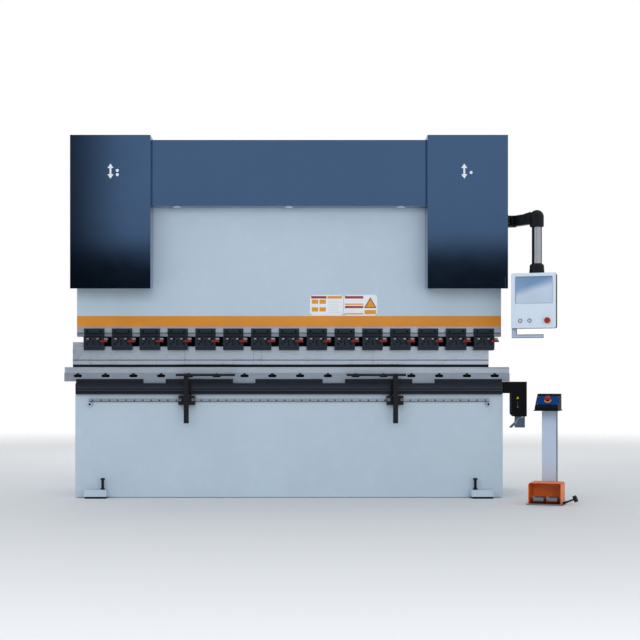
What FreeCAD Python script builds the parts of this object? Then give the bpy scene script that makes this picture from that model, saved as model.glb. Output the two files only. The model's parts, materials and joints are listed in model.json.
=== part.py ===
"""CNC press brake, 3200 mm bending length, with back gauge, front supports, pendant and foot pedestal.

Frame of the model: millimetres, +Z up, the operator stands on the -Y side, +X to the operator's right.
The origin is the centre of the floor anchor rectangle, on the floor.
Every size is a cell of the Sizes sheet, and the sub-parts are bound to those cells by expressions.
"""
import FreeCAD, Part
import math
import os
import re

import Sketcher

SIZES = {
    # bending line, bed and ram
    "bend_line": -565, "bed_half": 1537, "bed_thick": 80, "bed_bottom": 4, "bed_top": 740,
    "ram_half": 1526, "ram_thick": 70, "ram_bottom": 1158, "ram_shoulder": 1600,
    "ram_crown_half": 1040, "ram_crown_top": 2150, "ram_groove_z": 1184, "ram_groove_width": 4,
    # side frames
    "frame_inner": 1350, "frame_thick": 50, "frame_back": 600, "frame_nose": -485, "frame_top": 2400,
    "frame_chamfer": 160, "throat_back": -125, "throat_top": 1500, "throat_radius": 70,
    # floor fixing
    "anchor_x": 1380, "anchor_y": 650, "anchor_radius": 11, "foot_half": 80, "foot_reach": 95,
    "foot_top": 62, "pad_thick": 14, "pad_inset": 5, "level_x": 1333, "level_radius": 10,
    "level_head_radius": 15, "level_head_z": 130, "level_top": 144, "running_gap": 0.05,
    # hydraulic cylinders
    "cylinder_x": 1230, "shelf_inner": 1110, "shelf_front": -700, "shelf_back": -330,
    "shelf_bottom": 2060, "shelf_top": 2120, "barrel_radius": 100, "barrel_bottom": 1760,
    "gland_top": 1820, "flange_radius": 115, "flange_top": 2165, "cap_radius": 95, "cap_top": 2330,
    "bore_radius": 80, "bore_top": 2250, "rod_radius": 50, "piston_bottom": 1840, "piston_top": 1900,
    # guide rails
    "ram_guide_bottom": 1510, "ram_guide_top": 1800, "gauge_rail_front": -120, "gauge_rail_back": 440,
    "gauge_rail_width": 60, "gauge_rail_bottom": 770, "gauge_rail_top": 830,
    # oil tank and power pack
    "tank_front": -300, "tank_back": 200, "tank_bottom": 1950, "tank_top": 2330, "sheet_wall": 6,
    "lid_thick": 8, "motor_x": -420, "motor_length": 380, "motor_radius": 95, "motor_y": -50,
    "motor_foot": 20, "motor_foot_end": 40, "motor_foot_side": 20, "pump_length": 190,
    "pump_radius": 60, "manifold_x": 380, "manifold_side": 180, "manifold_high": 110,
    "filler_x": -900, "filler_radius": 38, "filler_high": 70,
    # covers
    "cover_wall": 3, "cover_inner": 976, "cover_outer": 1543, "cover_bottom": 1489, "cover_top": 2572,
    "cover_rise": 60, "cover_front": -790, "cover_back": -200, "cover_web_back": -612, "centre_front": -710,
    "centre_back": -480, "centre_bottom": 2083, "centre_top": 2552, "centre_lip_back": -620,
    "lug_front": -300, "lug_deep": 60, "lug_low": 1560, "lug_high": 2200, "lug_tall": 40,
    # bottom tooling
    "table_half": 1531, "table_split": 788, "table_top": 836, "holder_half": 1602,
    "holder_shift": -15, "holder_thick": 70,
    "holder_top": 897, "slot_count": 16, "slot_pitch": 200, "slot_shift": -20, "slot_length": 60,
    "slot_high": 20, "slot_z": 876, "slot_deep": 12, "die_thick": 60, "die_top": 939, "vee_half": 12,
    "vee_deep": 14, "vee_flat": 1, "die_chamfer": 9, "die_chamfer_in": 4, "die_end_gap": 2,
    # table rail
    "rail_thick": 35, "rail_bottom": 744, "rail_top": 823, "rail_groove_low": 758,
    "rail_groove_high": 764, "rail_groove_deep": 6, "tab_count": 5, "tab_gap": 160, "tab_thick": 6,
    "tab_top": 853,
    # crowning drive
    "drive_arm_end": 1593, "drive_right": 1704, "drive_front": -640, "drive_back": -560,
    "drive_arm_bottom": 751, "drive_bottom": 585, "drive_top": 834, "drive_chamfer": 18,
    "switch_left": 1624, "switch_right": 1693, "switch_bottom": 505, "switch_front": -625,
    "switch_back": -590, "trip_reach": 1588, "trip_thick": 12, "trip_root_high": 45,
    "trip_root_low": 22, "trip_tip_high": 12, "trip_tip_low": 2, "trip_tip_back": 8,
    "trip_tip_front": 10,
    # front linear rail and supports
    "front_rail_half": 1437, "front_rail_bottom": 690, "front_rail_top": 712, "front_rail_thick": 12,
    "front_rail_pitch": 60, "front_rail_hole": 3.5, "front_rail_hole_deep": 6, "front_rail_holes": 48,
    "end_stop_x": 1428, "end_stop_z": 672, "end_stop_radius": 16, "end_stop_length": 30,
    "support_left_x": -731, "support_right_x": 758, "support_y": -700, "carriage_half": 59,
    "carriage_bottom": 667,
    "carriage_top": 733, "carriage_gap": 1, "slide_gap": 0.5, "post_half": 17.5, "post_bottom": 537,
    "post_top": 873,
    "key_half": 4, "key_deep": 8, "arm_half_width": 30, "arm_thick": 16, "arm_long": 347,
    "arm_short": 73,
    # quick clamps and punch
    "clamp_count": 15, "clamp_pitch": 200, "clamp_half": 72.5, "clamp_bottom": 1060,
    "clamp_plate_bottom": 1080, "clamp_recess_top": 1182, "clamp_top": 1216, "jaw_deep": 20,
    "recess_deep": 8, "plate_front": 40, "lip_deep": 32, "clamp_bolt_x": 47, "clamp_bolt_z": 1196,
    "clamp_bolt_radius": 6, "lock_bolt_z": 1104, "lock_bolt_radius": 8, "bolt_deep": 6,
    "lever_x": 37, "lever_z": 1124, "lever_end": 100, "lever_radius": 7.5, "lever_hub_radius": 10,
    "lever_stand": 17.5, "punch_start": -1560, "punch_half": 13, "punch_shoulder": 1088,
    "punch_groove_top": 992, "punch_groove_bottom": 988, "punch_groove_deep": 2, "punch_taper": 962,
    "punch_tip": 927, "punch_tip_half": 0.8, "tang_half": 6, "tang_top": 1120, "tang_room": 2,
    "tool_gap": 0.2,
    # electrical cabinet
    "cabinet_deep": 190, "cabinet_front": -40, "cabinet_back": 540, "cabinet_bottom": 120,
    "cabinet_top": 780, "cabinet_wall": 3, "door_thick": 22,
    # back gauge and rear guard
    "beam_front": 150, "beam_deep": 100, "beam_high": 80, "beam_end_gap": 10, "finger_x": 400,
    "finger_block_half": 35, "finger_block_high": 25, "finger_half": 20, "finger_high": 23,
    "finger_tip": -230, "guard_front": 560, "guard_thick": 6, "guard_bottom": 200, "guard_top": 1500,
    # pendant
    "pivot_x": 1590, "pivot_y": -715, "bracket_plate": 6, "bracket_front": -770, "bracket_back": -660,
    "bracket_bottom": 1931, "bracket_top": 2010, "lug_half": 27, "lug_thick": 12, "pin_radius": 12,
    "hub_radius": 26, "hub_gap": 0.5, "arm_bottom": 1933, "arm_top": 2008, "arm_side": 25,
    "arm_start": 34, "arm_length": 231.4, "arm_turn": -55, "elbow_radius": 48, "elbow_bottom": 1908,
    "elbow_top": 2026, "tube_radius": 34.5, "tube_bottom": 1649, "collar_radius": 52,
    "box_turn": -17, "box_shift": -18, "box_half": 153, "box_half_deep": 60, "box_bottom": 1203,
    "box_top": 1584, "box_round": 10, "handle_radius": 11, "handle_left": -157, "handle_right": 33,
    "handle_z": 1149, "button_z": 1254, "estop_x": 78, "button_left_x": -107, "button_right_x": -44,
    "estop_radius": 19, "estop_stem": 8, "estop_out": 30, "estop_head": 14, "stem_in": 14,
    "bore_in": 20, "button_radius": 9.5, "button_out": 8, "push_gap": 0.1,
    # foot pedestal
    "stand_x": 1768, "stand_y": -1055, "stand_turn": -20, "floor_half": 120, "floor_front": 165,
    "floor_back": 150, "floor_thick": 6, "column_half": 49, "column_front": 60, "column_back": 120,
    "column_top": 632, "hood_half": 110, "hood_front": -150, "hood_back": 40, "hood_top": 150,
    "hood_wall": 4, "hood_round": 18, "pedal_inner": 10, "pedal_wide": 70, "pedal_front": -130,
    "pedal_pin_y": -10, "pedal_pin_z": 40, "pedal_pin_radius": 5, "pedal_hub_radius": 9,
    "pedal_thick": 9, "knob_y": -60, "knob_z": 12, "knob_tilt": -22, "knob_reach": 66,
    "knob_radius": 22, "knob_thick": 24, "knob_rod_radius": 6, "console_half": 78,
    "console_lip_half": 84,
    "console_front": -85, "console_step": 8, "console_back": 105, "console_lip": 640, "console_low": 655,
    "console_ridge": 50, "console_top": 749, "console_button_y": -15, "console_button_x": 2,
}
PUNCH_LENGTHS = (805, 500, 55, 805, 835)
DIE_LENGTHS = (835, 415, 280, 835, 835)

DOC = FreeCAD.newDocument("PressBrake")
SHEET = DOC.addObject("Spreadsheet::Sheet", "Sizes")
NODES = []


def fill_sheet():
    """Write every driving size into the sheet, with its alias."""
    for row, (alias, value) in enumerate(SIZES.items(), start=1):
        SHEET.set("A%d" % row, alias.replace("_", " "))
        SHEET.set("B%d" % row, str(value))
        SHEET.setAlias("B%d" % row, alias)
    DOC.recompute()


def formula(text):
    """Turn a formula in plain aliases into an expression on the sheet."""
    return re.sub(r"[a-z][a-z_]*", lambda word: prefixed(word.group(0)), str(text))


def prefixed(word):
    return "Sizes." + word if word in SIZES else word


def bind(item, **formulas):
    """Bind properties, given as name=formula, to the sheet."""
    for name, text in formulas.items():
        item.setExpression(name, formula(text))


def place(item, x=0, y=0, z=0):
    for axis, text in zip("xyz", (x, y, z)):
        item.setExpression("Placement.Base." + axis, formula(text))
    return item


def turned_by(item, angle, x, y):
    """Turn a finished piece about a vertical axis at x, y; its own frame has that axis at 0, 0."""
    item.Placement = FreeCAD.Placement(FreeCAD.Vector(), FreeCAD.Rotation(FreeCAD.Vector(0, 0, 1), 1))
    item.setExpression("Placement.Rotation.Angle", formula(angle))
    return place(item, x, y)


def box(x_low, x_high, y_low, y_high, z_low, z_high):
    """A block between two corners, each given as a formula."""
    item = DOC.addObject("Part::Box", "Block")
    bind(item, Length="(%s) - (%s)" % (x_high, x_low), Width="(%s) - (%s)" % (y_high, y_low),
         Height="(%s) - (%s)" % (z_high, z_low))
    return place(item, x_low, y_low, z_low)


def rod(axis, radius, length, x, y, z):
    """A cylinder from x, y, z along +X, +Y or +Z."""
    item = DOC.addObject("Part::Cylinder", "Rod")
    spin = {"X": FreeCAD.Rotation(FreeCAD.Vector(0, 1, 0), 90),
            "Y": FreeCAD.Rotation(FreeCAD.Vector(1, 0, 0), -90),
            "Z": FreeCAD.Rotation()}[axis]
    item.Placement = FreeCAD.Placement(FreeCAD.Vector(), spin)
    bind(item, Radius=radius, Height=length)
    return place(item, x, y, z)


def joined(kind, parts):
    item = DOC.addObject(kind, "Group")
    if kind == "Part::Compound":
        item.Links = parts
    else:
        item.Shapes = parts
    return item


def fuse(*parts):
    return joined("Part::MultiFuse", list(parts)) if len(parts) > 1 else parts[0]


def group(*parts):
    return joined("Part::Compound", list(parts))


def cut(base, *tools):
    item = DOC.addObject("Part::Cut", "Cut")
    item.Base = base
    item.Tool = fuse(*tools)
    return item


def round_edges(base, radius, wanted):
    """Round the edges for which wanted(edge) is true."""
    DOC.recompute()
    item = DOC.addObject("Part::Fillet", "Rounded")
    item.Base = base
    size = SIZES[radius]
    item.Edges = [(number, size, size) for number, edge in enumerate(base.Shape.Edges, start=1)
                  if wanted(edge)]
    return item


def origin_feature(body, role):
    return [item for item in body.Origin.OriginFeatures if item.Role == role][0]


def outline_sketch(body, plane, outline):
    """A closed polygon on one of the body's origin planes, each corner bound to the sheet."""
    sketch = body.newObject("Sketcher::SketchObject", "Outline")
    sketch.AttachmentSupport = (origin_feature(body, plane), [""])
    sketch.MapMode = "FlatFace"
    count = len(outline)
    corners = [FreeCAD.Vector(*(value_of(text) for text in corner), 0) for corner in outline]
    for number in range(count):
        edge = Part.LineSegment(corners[number], corners[(number + 1) % count])
        sketch.addGeometry(edge, False)
    for number in range(count):
        sketch.addConstraint(Sketcher.Constraint("Coincident", number, 2, (number + 1) % count, 1))
    for number, corner in enumerate(outline):
        for kind, text in zip(("DistanceX", "DistanceY"), corner):
            rule = Sketcher.Constraint(kind, number, 1, value_of(text))
            index = sketch.addConstraint(rule)
            sketch.setExpression("Constraints[%d]" % index, formula(text))
    return sketch


def value_of(text):
    """The number that a formula has now, for a sketch's first drawing."""
    SHEET.set("D1", "=" + str(text))
    SHEET.recompute()
    return float(SHEET.get("D1"))


def prism(plane, outline, start, length):
    """A body with one pad: the outline swept from start along +X (YZ plane), +Y or +Z."""
    body = DOC.addObject("PartDesign::Body", "Body")
    pad = body.newObject("PartDesign::Pad", "Pad")
    pad.Profile = outline_sketch(body, plane + "_Plane", outline)
    pad.Reversed = plane == "XZ"
    bind(pad, Length=length)
    body.Tip = pad
    along = {"YZ": "x", "XZ": "y", "XY": "z"}[plane]
    place(body, **{along: start})
    return body


def turned(outline, x, y):
    """A body of revolution about the vertical axis through x, y; outline is (radius, z)."""
    body = DOC.addObject("PartDesign::Body", "Body")
    feature = body.newObject("PartDesign::Revolution", "Turned")
    sketch = outline_sketch(body, "XZ_Plane", outline)
    feature.Profile = sketch
    feature.ReferenceAxis = (sketch, ["V_Axis"])
    feature.Angle = 360
    body.Tip = feature
    return place(body, x, y)


def repeat_along_x(body, originals, pitch, count):
    """A linear pattern of a body's features along its own X axis."""
    pattern = body.newObject("PartDesign::LinearPattern", "Row")
    pattern.Originals = originals
    pattern.Direction = (origin_feature(body, "X_Axis"), [""])
    pattern.Mode = "Spacing"
    bind(pattern, Offset=pitch, Occurrences=count)
    body.Tip = pattern


def node(name, item):
    """Name a finished sub-part; the name becomes its file's."""
    item.Label = name
    NODES.append(item)


BED_FRONT = "(bend_line - bed_thick / 2)"
BED_BACK = "(bend_line + bed_thick / 2)"
RAM_FRONT = "(bend_line - ram_thick / 2)"
RAM_BACK = "(bend_line + ram_thick / 2)"
FRAME_OUTER = "(frame_inner + frame_thick)"
SIDES = (("left", -1), ("right", 1))


def span(side, near, far):
    """The low and high X of a piece that lies between two distances from the middle."""
    return (near, far) if side > 0 else ("-(%s)" % far, "-(%s)" % near)


def foot_block(side, end):
    """A foot bracket, in front of the bed or behind a frame, with its anchor and bolt holes."""
    y_low, y_high = (BED_FRONT + " - foot_reach", BED_FRONT) if end < 0 else (
        "frame_back", "frame_back + foot_reach")
    block = box("%d * anchor_x - foot_half" % side, "%d * anchor_x + foot_half" % side,
                y_low, y_high, "pad_thick", "foot_top")
    holes = (("anchor_radius", "anchor_x"), ("level_radius + push_gap", "level_x"))
    tools = [rod("Z", radius, "foot_top", "%d * %s" % (side, x), "%d * anchor_y" % end, "0")
             for radius, x in holes]
    return cut(block, *tools)


def side_frames():
    """Two C-shaped plates, each with a rear foot, a cylinder shelf and two cover lugs."""
    profile = (
        (BED_BACK, "bed_bottom"), ("frame_back", "bed_bottom"),
        ("frame_back", "frame_top - frame_chamfer"), ("frame_back - frame_chamfer", "frame_top"),
        ("frame_nose", "frame_top"), ("frame_nose", "throat_top"), ("throat_back", "throat_top"),
        ("throat_back", "bed_top"), (BED_BACK, "bed_top"),
    )
    for name, side in SIDES:
        start = span(side, "frame_inner", FRAME_OUTER)[0]
        plate = prism("YZ", profile, start, "frame_thick")
        rounded = round_edges(plate, "throat_radius", is_throat_corner)
        foot = foot_block(side, 1)
        shelf = box(*span(side, "shelf_inner", "frame_inner"), "shelf_front", "shelf_back",
                    "shelf_bottom", "shelf_top")
        seat = rod("Z", "barrel_radius + running_gap", "shelf_top - shelf_bottom",
                   "%d * cylinder_x" % side, "bend_line", "shelf_bottom")
        lugs = [box(*span(side, FRAME_OUTER, "cover_outer - cover_wall"), "lug_front",
                    "lug_front + lug_deep", level, level + " + lug_tall")
                for level in ("lug_low", "lug_high")]
        node("side_frame_" + name, fuse(rounded, foot, cut(shelf, seat), *lugs))


def is_throat_corner(edge):
    """The two inner corners of the throat run along X at its back."""
    middle = edge.CenterOfMass
    at_back = abs(middle.y - SIZES["throat_back"]) < 1
    along_x = abs(edge.tangentAt(edge.FirstParameter).x) > 0.9
    return at_back and along_x


def bed_beam():
    """The front table plate with its two foot brackets."""
    plate = box("-bed_half", "bed_half", BED_FRONT, BED_BACK, "bed_bottom", "bed_top")
    feet = [foot_block(side, -1) for _, side in SIDES]
    node("bed_beam", fuse(plate, *feet))


def levelling_feet():
    """Four pads with anchor holes and the levelling bolts that bear on them."""
    pieces = []
    for _, side in SIDES:
        for end in (-1, 1):
            centre = "%d * anchor_x" % side
            pad = box(centre + " - foot_half + pad_inset", centre + " + foot_half - pad_inset",
                      "%d * anchor_y - foot_reach / 2 + pad_inset" % end,
                      "%d * anchor_y + foot_reach / 2 - pad_inset" % end, "0", "pad_thick")
            hole = rod("Z", "anchor_radius", "pad_thick", centre, "%d * anchor_y" % end, "0")
            pieces.append(cut(pad, hole))
            where = ("%d * level_x" % side, "%d * anchor_y" % end)
            shank = rod("Z", "level_radius", "level_head_z - pad_thick", *where, "pad_thick")
            head = rod("Z", "level_head_radius", "level_top - level_head_z", *where, "level_head_z")
            pieces.append(fuse(shank, head))
    node("levelling_feet", group(*pieces))


def crowning_table():
    """The two long wedge bars under the die holder."""
    levels = (("bed_top", "table_split"), ("table_split", "table_top"))
    bars = [box("-table_half", "table_half", BED_FRONT, BED_BACK, *level) for level in levels]
    node("crowning_table", group(*bars))


def die_holder():
    """The holder bar with a row of clamping slots in its front."""
    front = "(bend_line - holder_thick / 2)"
    bar = box("holder_shift - holder_half", "holder_shift + holder_half", front,
              "bend_line + holder_thick / 2", "table_top", "holder_top")
    slots = []
    for number in range(SIZES["slot_count"]):
        middle = "slot_shift + slot_pitch * %s" % (number - (SIZES["slot_count"] - 1) / 2)
        straight = "(slot_length - slot_high) / 2"
        low = "%s - %s" % (middle, straight)
        high = "%s + %s" % (middle, straight)
        slots.append(box(low, high, front, front + " + slot_deep", "slot_z - slot_high / 2",
                         "slot_z + slot_high / 2"))
        slots += [rod("Y", "slot_high / 2", "slot_deep", end, front, "slot_z") for end in (low, high)]
    node("die_holder", cut(bar, *slots))


def die_segments():
    """V-dies butted end to end, the groove on the bending line."""
    low = "bend_line - die_thick / 2"
    profile = (
        (low, "holder_top"), ("bend_line + die_thick / 2", "holder_top"),
        ("bend_line + die_thick / 2", "die_top"), ("bend_line + vee_half", "die_top"),
        ("bend_line + vee_flat", "die_top - vee_deep"), ("bend_line - vee_flat", "die_top - vee_deep"),
        ("bend_line - vee_half", "die_top"), (low + " + die_chamfer_in", "die_top"),
        (low, "die_top - die_chamfer"),
    )
    node("die_segments", segments(profile, "holder_shift - holder_half + die_end_gap", DIE_LENGTHS))


def segments(profile, start, lengths):
    """Equal sections of different lengths, one after the other along X."""
    pieces = []
    reached = 0
    for length in lengths:
        pieces.append(prism("YZ", profile, "%s + %d" % (start, reached), length))
        reached += length
    return group(*pieces)


def table_rail():
    """The slotted rail along the table's front, with its raised tabs."""
    front = BED_FRONT + " - rail_thick"
    back = BED_FRONT
    profile = (
        (back, "rail_bottom"), (front, "rail_bottom"), (front, "rail_groove_low"),
        (front + " + rail_groove_deep", "rail_groove_low"),
        (front + " + rail_groove_deep", "rail_groove_high"), (front, "rail_groove_high"),
        (front, "rail_top"), (back, "rail_top"),
    )
    bar = prism("YZ", profile, "-table_half", "2 * table_half")
    tab_length = "((2 * table_half - (tab_count - 1) * tab_gap) / tab_count)"
    tabs = []
    for number in range(SIZES["tab_count"]):
        start = "-table_half + %d * (%s + tab_gap)" % (number, tab_length)
        tabs.append(box(start, "%s + %s" % (start, tab_length), back + " - tab_thick", back,
                        "rail_top", "tab_top"))
    node("table_rail", fuse(bar, *tabs))


def crowning_drive():
    """The drive housing on the table's right end, with its limit switch and lever."""
    arm = box("bed_half", "drive_arm_end", "drive_front", "drive_back", "drive_arm_bottom", "drive_top")
    profile = (
        ("drive_arm_end", "drive_bottom + drive_chamfer"),
        ("drive_arm_end + drive_chamfer", "drive_bottom"), ("drive_right", "drive_bottom"),
        ("drive_right", "drive_top"), ("drive_arm_end", "drive_top"),
    )
    housing = prism("XZ", profile, "drive_front", "drive_back - drive_front")
    switch = box("switch_left", "switch_right", "switch_front", "switch_back", "switch_bottom",
                 "drive_bottom")
    lever_profile = (
        ("switch_left", "switch_bottom + trip_root_high"),
        ("trip_reach", "switch_bottom + trip_tip_high"), ("trip_reach - trip_tip_back", "switch_bottom"),
        ("trip_reach + trip_tip_front", "switch_bottom - trip_tip_low"),
        ("switch_left", "switch_bottom + trip_root_low"),
    )
    lever = prism("XZ", lever_profile, "switch_front", "trip_thick")
    node("crowning_drive", fuse(arm, housing, switch, lever))


def front_rail():
    """The linear rail on the bed's front, with its screw holes and rubber end stops."""
    bar = DOC.addObject("PartDesign::Body", "Body")
    pad = bar.newObject("PartDesign::Pad", "Pad")
    half = "front_rail_half"
    corners = (("-" + half, "front_rail_bottom"), (half, "front_rail_bottom"),
               (half, "front_rail_top"), ("-" + half, "front_rail_top"))
    pad.Profile = outline_sketch(bar, "XZ_Plane", corners)
    bind(pad, Length="front_rail_thick")
    pocket = bar.newObject("PartDesign::Pocket", "Screw")
    screw = bar.newObject("Sketcher::SketchObject", "ScrewHole")
    screw.AttachmentSupport = (origin_feature(bar, "XZ_Plane"), [""])
    screw.MapMode = "FlatFace"
    screw.AttachmentOffset.Base.z = SIZES["front_rail_thick"]
    screw.setExpression("AttachmentOffset.Base.z", formula("front_rail_thick"))
    first = "-front_rail_pitch * (front_rail_holes - 1) / 2"
    level = "(front_rail_bottom + front_rail_top) / 2"
    middle = FreeCAD.Vector(value_of(first), value_of(level), 0)
    screw.addGeometry(Part.Circle(middle, FreeCAD.Vector(0, 0, 1), SIZES["front_rail_hole"]), False)
    rules = (("Radius", "front_rail_hole"), ("DistanceX", first), ("DistanceY", level))
    for kind, text in rules:
        where = (0,) if kind == "Radius" else (0, 3)
        index = screw.addConstraint(Sketcher.Constraint(kind, *where, value_of(text)))
        screw.setExpression("Constraints[%d]" % index, formula(text))
    pocket.Profile = screw
    bind(pocket, Length="front_rail_hole_deep")
    repeat_along_x(bar, [pocket], "front_rail_pitch", "front_rail_holes")
    place(bar, y=BED_FRONT)
    stops = [rod("Y", "end_stop_radius", "end_stop_length", "%d * end_stop_x" % side,
                 BED_FRONT + " - end_stop_length", "end_stop_z") for _, side in SIDES]
    node("front_rail", group(bar, *stops))


def guide_rails():
    """Ram guides on the frames' noses and back-gauge rails on their inner faces."""
    rails = []
    for _, side in SIDES:
        rails.append(box(*span(side, "frame_inner", FRAME_OUTER), RAM_BACK + " + running_gap",
                         "frame_nose", "ram_guide_bottom", "ram_guide_top"))
        rails.append(box(*span(side, "frame_inner - gauge_rail_width", "frame_inner"),
                         "gauge_rail_front", "gauge_rail_back", "gauge_rail_bottom", "gauge_rail_top"))
    node("guide_rails", group(*rails))


def cylinder_barrels():
    """Two hollow barrels, hung in the frames' shelves by their flanges."""
    profile = (
        ("rod_radius + running_gap", "barrel_bottom"), ("barrel_radius", "barrel_bottom"),
        ("barrel_radius", "shelf_top"), ("flange_radius", "shelf_top"),
        ("flange_radius", "flange_top"), ("cap_radius", "flange_top"), ("cap_radius", "cap_top"),
        ("0", "cap_top"), ("0", "bore_top"), ("bore_radius", "bore_top"), ("bore_radius", "gland_top"),
        ("rod_radius + running_gap", "gland_top"),
    )
    barrels = [turned(profile, "%d * cylinder_x" % side, "bend_line") for _, side in SIDES]
    node("cylinder_barrels", group(*barrels))


def piston_rods():
    profile = (
        ("0", "ram_shoulder"), ("rod_radius", "ram_shoulder"), ("rod_radius", "piston_bottom"),
        ("bore_radius - running_gap", "piston_bottom"), ("bore_radius - running_gap", "piston_top"),
        ("0", "piston_top"),
    )
    rods = [turned(profile, "%d * cylinder_x" % side, "bend_line") for _, side in SIDES]
    node("piston_rods", group(*rods))


def oil_tank():
    """An open-topped tank that ties the two frames together."""
    outside = box("-frame_inner", "frame_inner", "tank_front", "tank_back", "tank_bottom", "tank_top")
    inside = box("-frame_inner + sheet_wall", "frame_inner - sheet_wall", "tank_front + sheet_wall",
                 "tank_back - sheet_wall", "tank_bottom + sheet_wall", "tank_top + sheet_wall")
    node("oil_tank", cut(outside, inside))


def power_pack():
    """The tank's lid with the motor, pump, valve manifold and filler standing on it."""
    top = "tank_top + lid_thick"
    lid = box("-frame_inner", "frame_inner", "tank_front", "tank_back", "tank_top", top)
    centre = top + " + motor_foot + motor_radius"
    motor = rod("X", "motor_radius", "motor_length", "motor_x", "motor_y", centre)
    foot = box("motor_x + motor_foot_end", "motor_x + motor_length - motor_foot_end",
               "motor_y - motor_radius + motor_foot_side", "motor_y + motor_radius - motor_foot_side",
               top, centre)
    pump = rod("X", "pump_radius", "pump_length", "motor_x + motor_length", "motor_y", centre)
    manifold = box("manifold_x", "manifold_x + manifold_side", "motor_y - manifold_side / 2",
                   "motor_y + manifold_side / 2", top, top + " + manifold_high")
    filler = rod("Z", "filler_radius", "filler_high", "filler_x", "motor_y", top)
    node("power_pack", group(lid, fuse(motor, foot, pump), manifold, filler))


def side_covers():
    """Folded sheet covers over the cylinders, open at the back; their lower edge rises to the back."""
    for name, side in SIDES:
        outside = box(*span(side, "cover_inner", "cover_outer"), "cover_front", "cover_back",
                      "cover_bottom", "cover_top")
        inside = box(*span(side, "cover_inner + cover_wall", "cover_outer - cover_wall"),
                     "cover_front + cover_wall", "cover_back + cover_wall",
                     "cover_bottom - cover_wall", "cover_top - cover_wall")
        ram_side = box(*span(side, "cover_inner - cover_wall", "cover_inner + 2 * cover_wall"),
                       "cover_web_back", "cover_back + cover_wall", "cover_bottom - cover_wall",
                       "cover_top - cover_wall")
        below = (("cover_front + cover_wall", "cover_bottom - cover_wall"),
                 ("cover_back + cover_wall", "cover_bottom - cover_wall"),
                 ("cover_back + cover_wall", "cover_bottom + cover_rise"),
                 ("cover_front + cover_wall", "cover_bottom"))
        rising = prism("YZ", below, span(side, "cover_inner - cover_wall", "cover_outer")[0],
                       "cover_outer - cover_inner + cover_wall")
        node("cover_" + name, cut(outside, inside, ram_side, rising))


def centre_cover():
    """The folded cover across the ram's top, with a lip along its bottom edge."""
    wall = "cover_wall"
    profile = (
        ("centre_back", "centre_top"), ("centre_front", "centre_top"),
        ("centre_front", "centre_bottom"), ("centre_lip_back", "centre_bottom"),
        ("centre_lip_back", "centre_bottom + " + wall),
        ("centre_front + " + wall, "centre_bottom + " + wall),
        ("centre_front + " + wall, "centre_top - " + wall), ("centre_back", "centre_top - " + wall),
    )
    node("cover_centre", prism("YZ", profile, "-cover_inner", "2 * cover_inner"))


def electrical_cabinet():
    """A sheet cabinet on the right frame, open to the right, and its door on a rear hinge."""
    outer = "(%s + cabinet_deep)" % FRAME_OUTER
    shell = box(FRAME_OUTER, outer, "cabinet_front", "cabinet_back", "cabinet_bottom", "cabinet_top")
    hollow = box(FRAME_OUTER + " + cabinet_wall", outer + " + cabinet_wall",
                 "cabinet_front + cabinet_wall", "cabinet_back - cabinet_wall",
                 "cabinet_bottom + cabinet_wall", "cabinet_top - cabinet_wall")
    node("electrical_cabinet", cut(shell, hollow))
    node("cabinet_door", box(outer, outer + " + door_thick", "cabinet_front", "cabinet_back",
                             "cabinet_bottom", "cabinet_top"))


def rear_guard():
    node("rear_guard", box("-frame_inner", "frame_inner", "guard_front", "guard_front + guard_thick",
                           "guard_bottom", "guard_top"))


def ram_plate():
    """The T-shaped ram with a groove along its machined lower strip."""
    profile = (
        ("-ram_half", "ram_bottom"), ("ram_half", "ram_bottom"), ("ram_half", "ram_shoulder"),
        ("ram_crown_half", "ram_shoulder"), ("ram_crown_half", "ram_crown_top"),
        ("-ram_crown_half", "ram_crown_top"), ("-ram_crown_half", "ram_shoulder"),
        ("-ram_half", "ram_shoulder"),
    )
    plate = prism("XZ", profile, RAM_FRONT, "ram_thick")
    groove = box("-ram_half", "ram_half", RAM_FRONT, RAM_FRONT + " + ram_groove_width",
                 "ram_groove_z - ram_groove_width / 2", "ram_groove_z + ram_groove_width / 2")
    node("ram_plate", cut(plate, groove))


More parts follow.
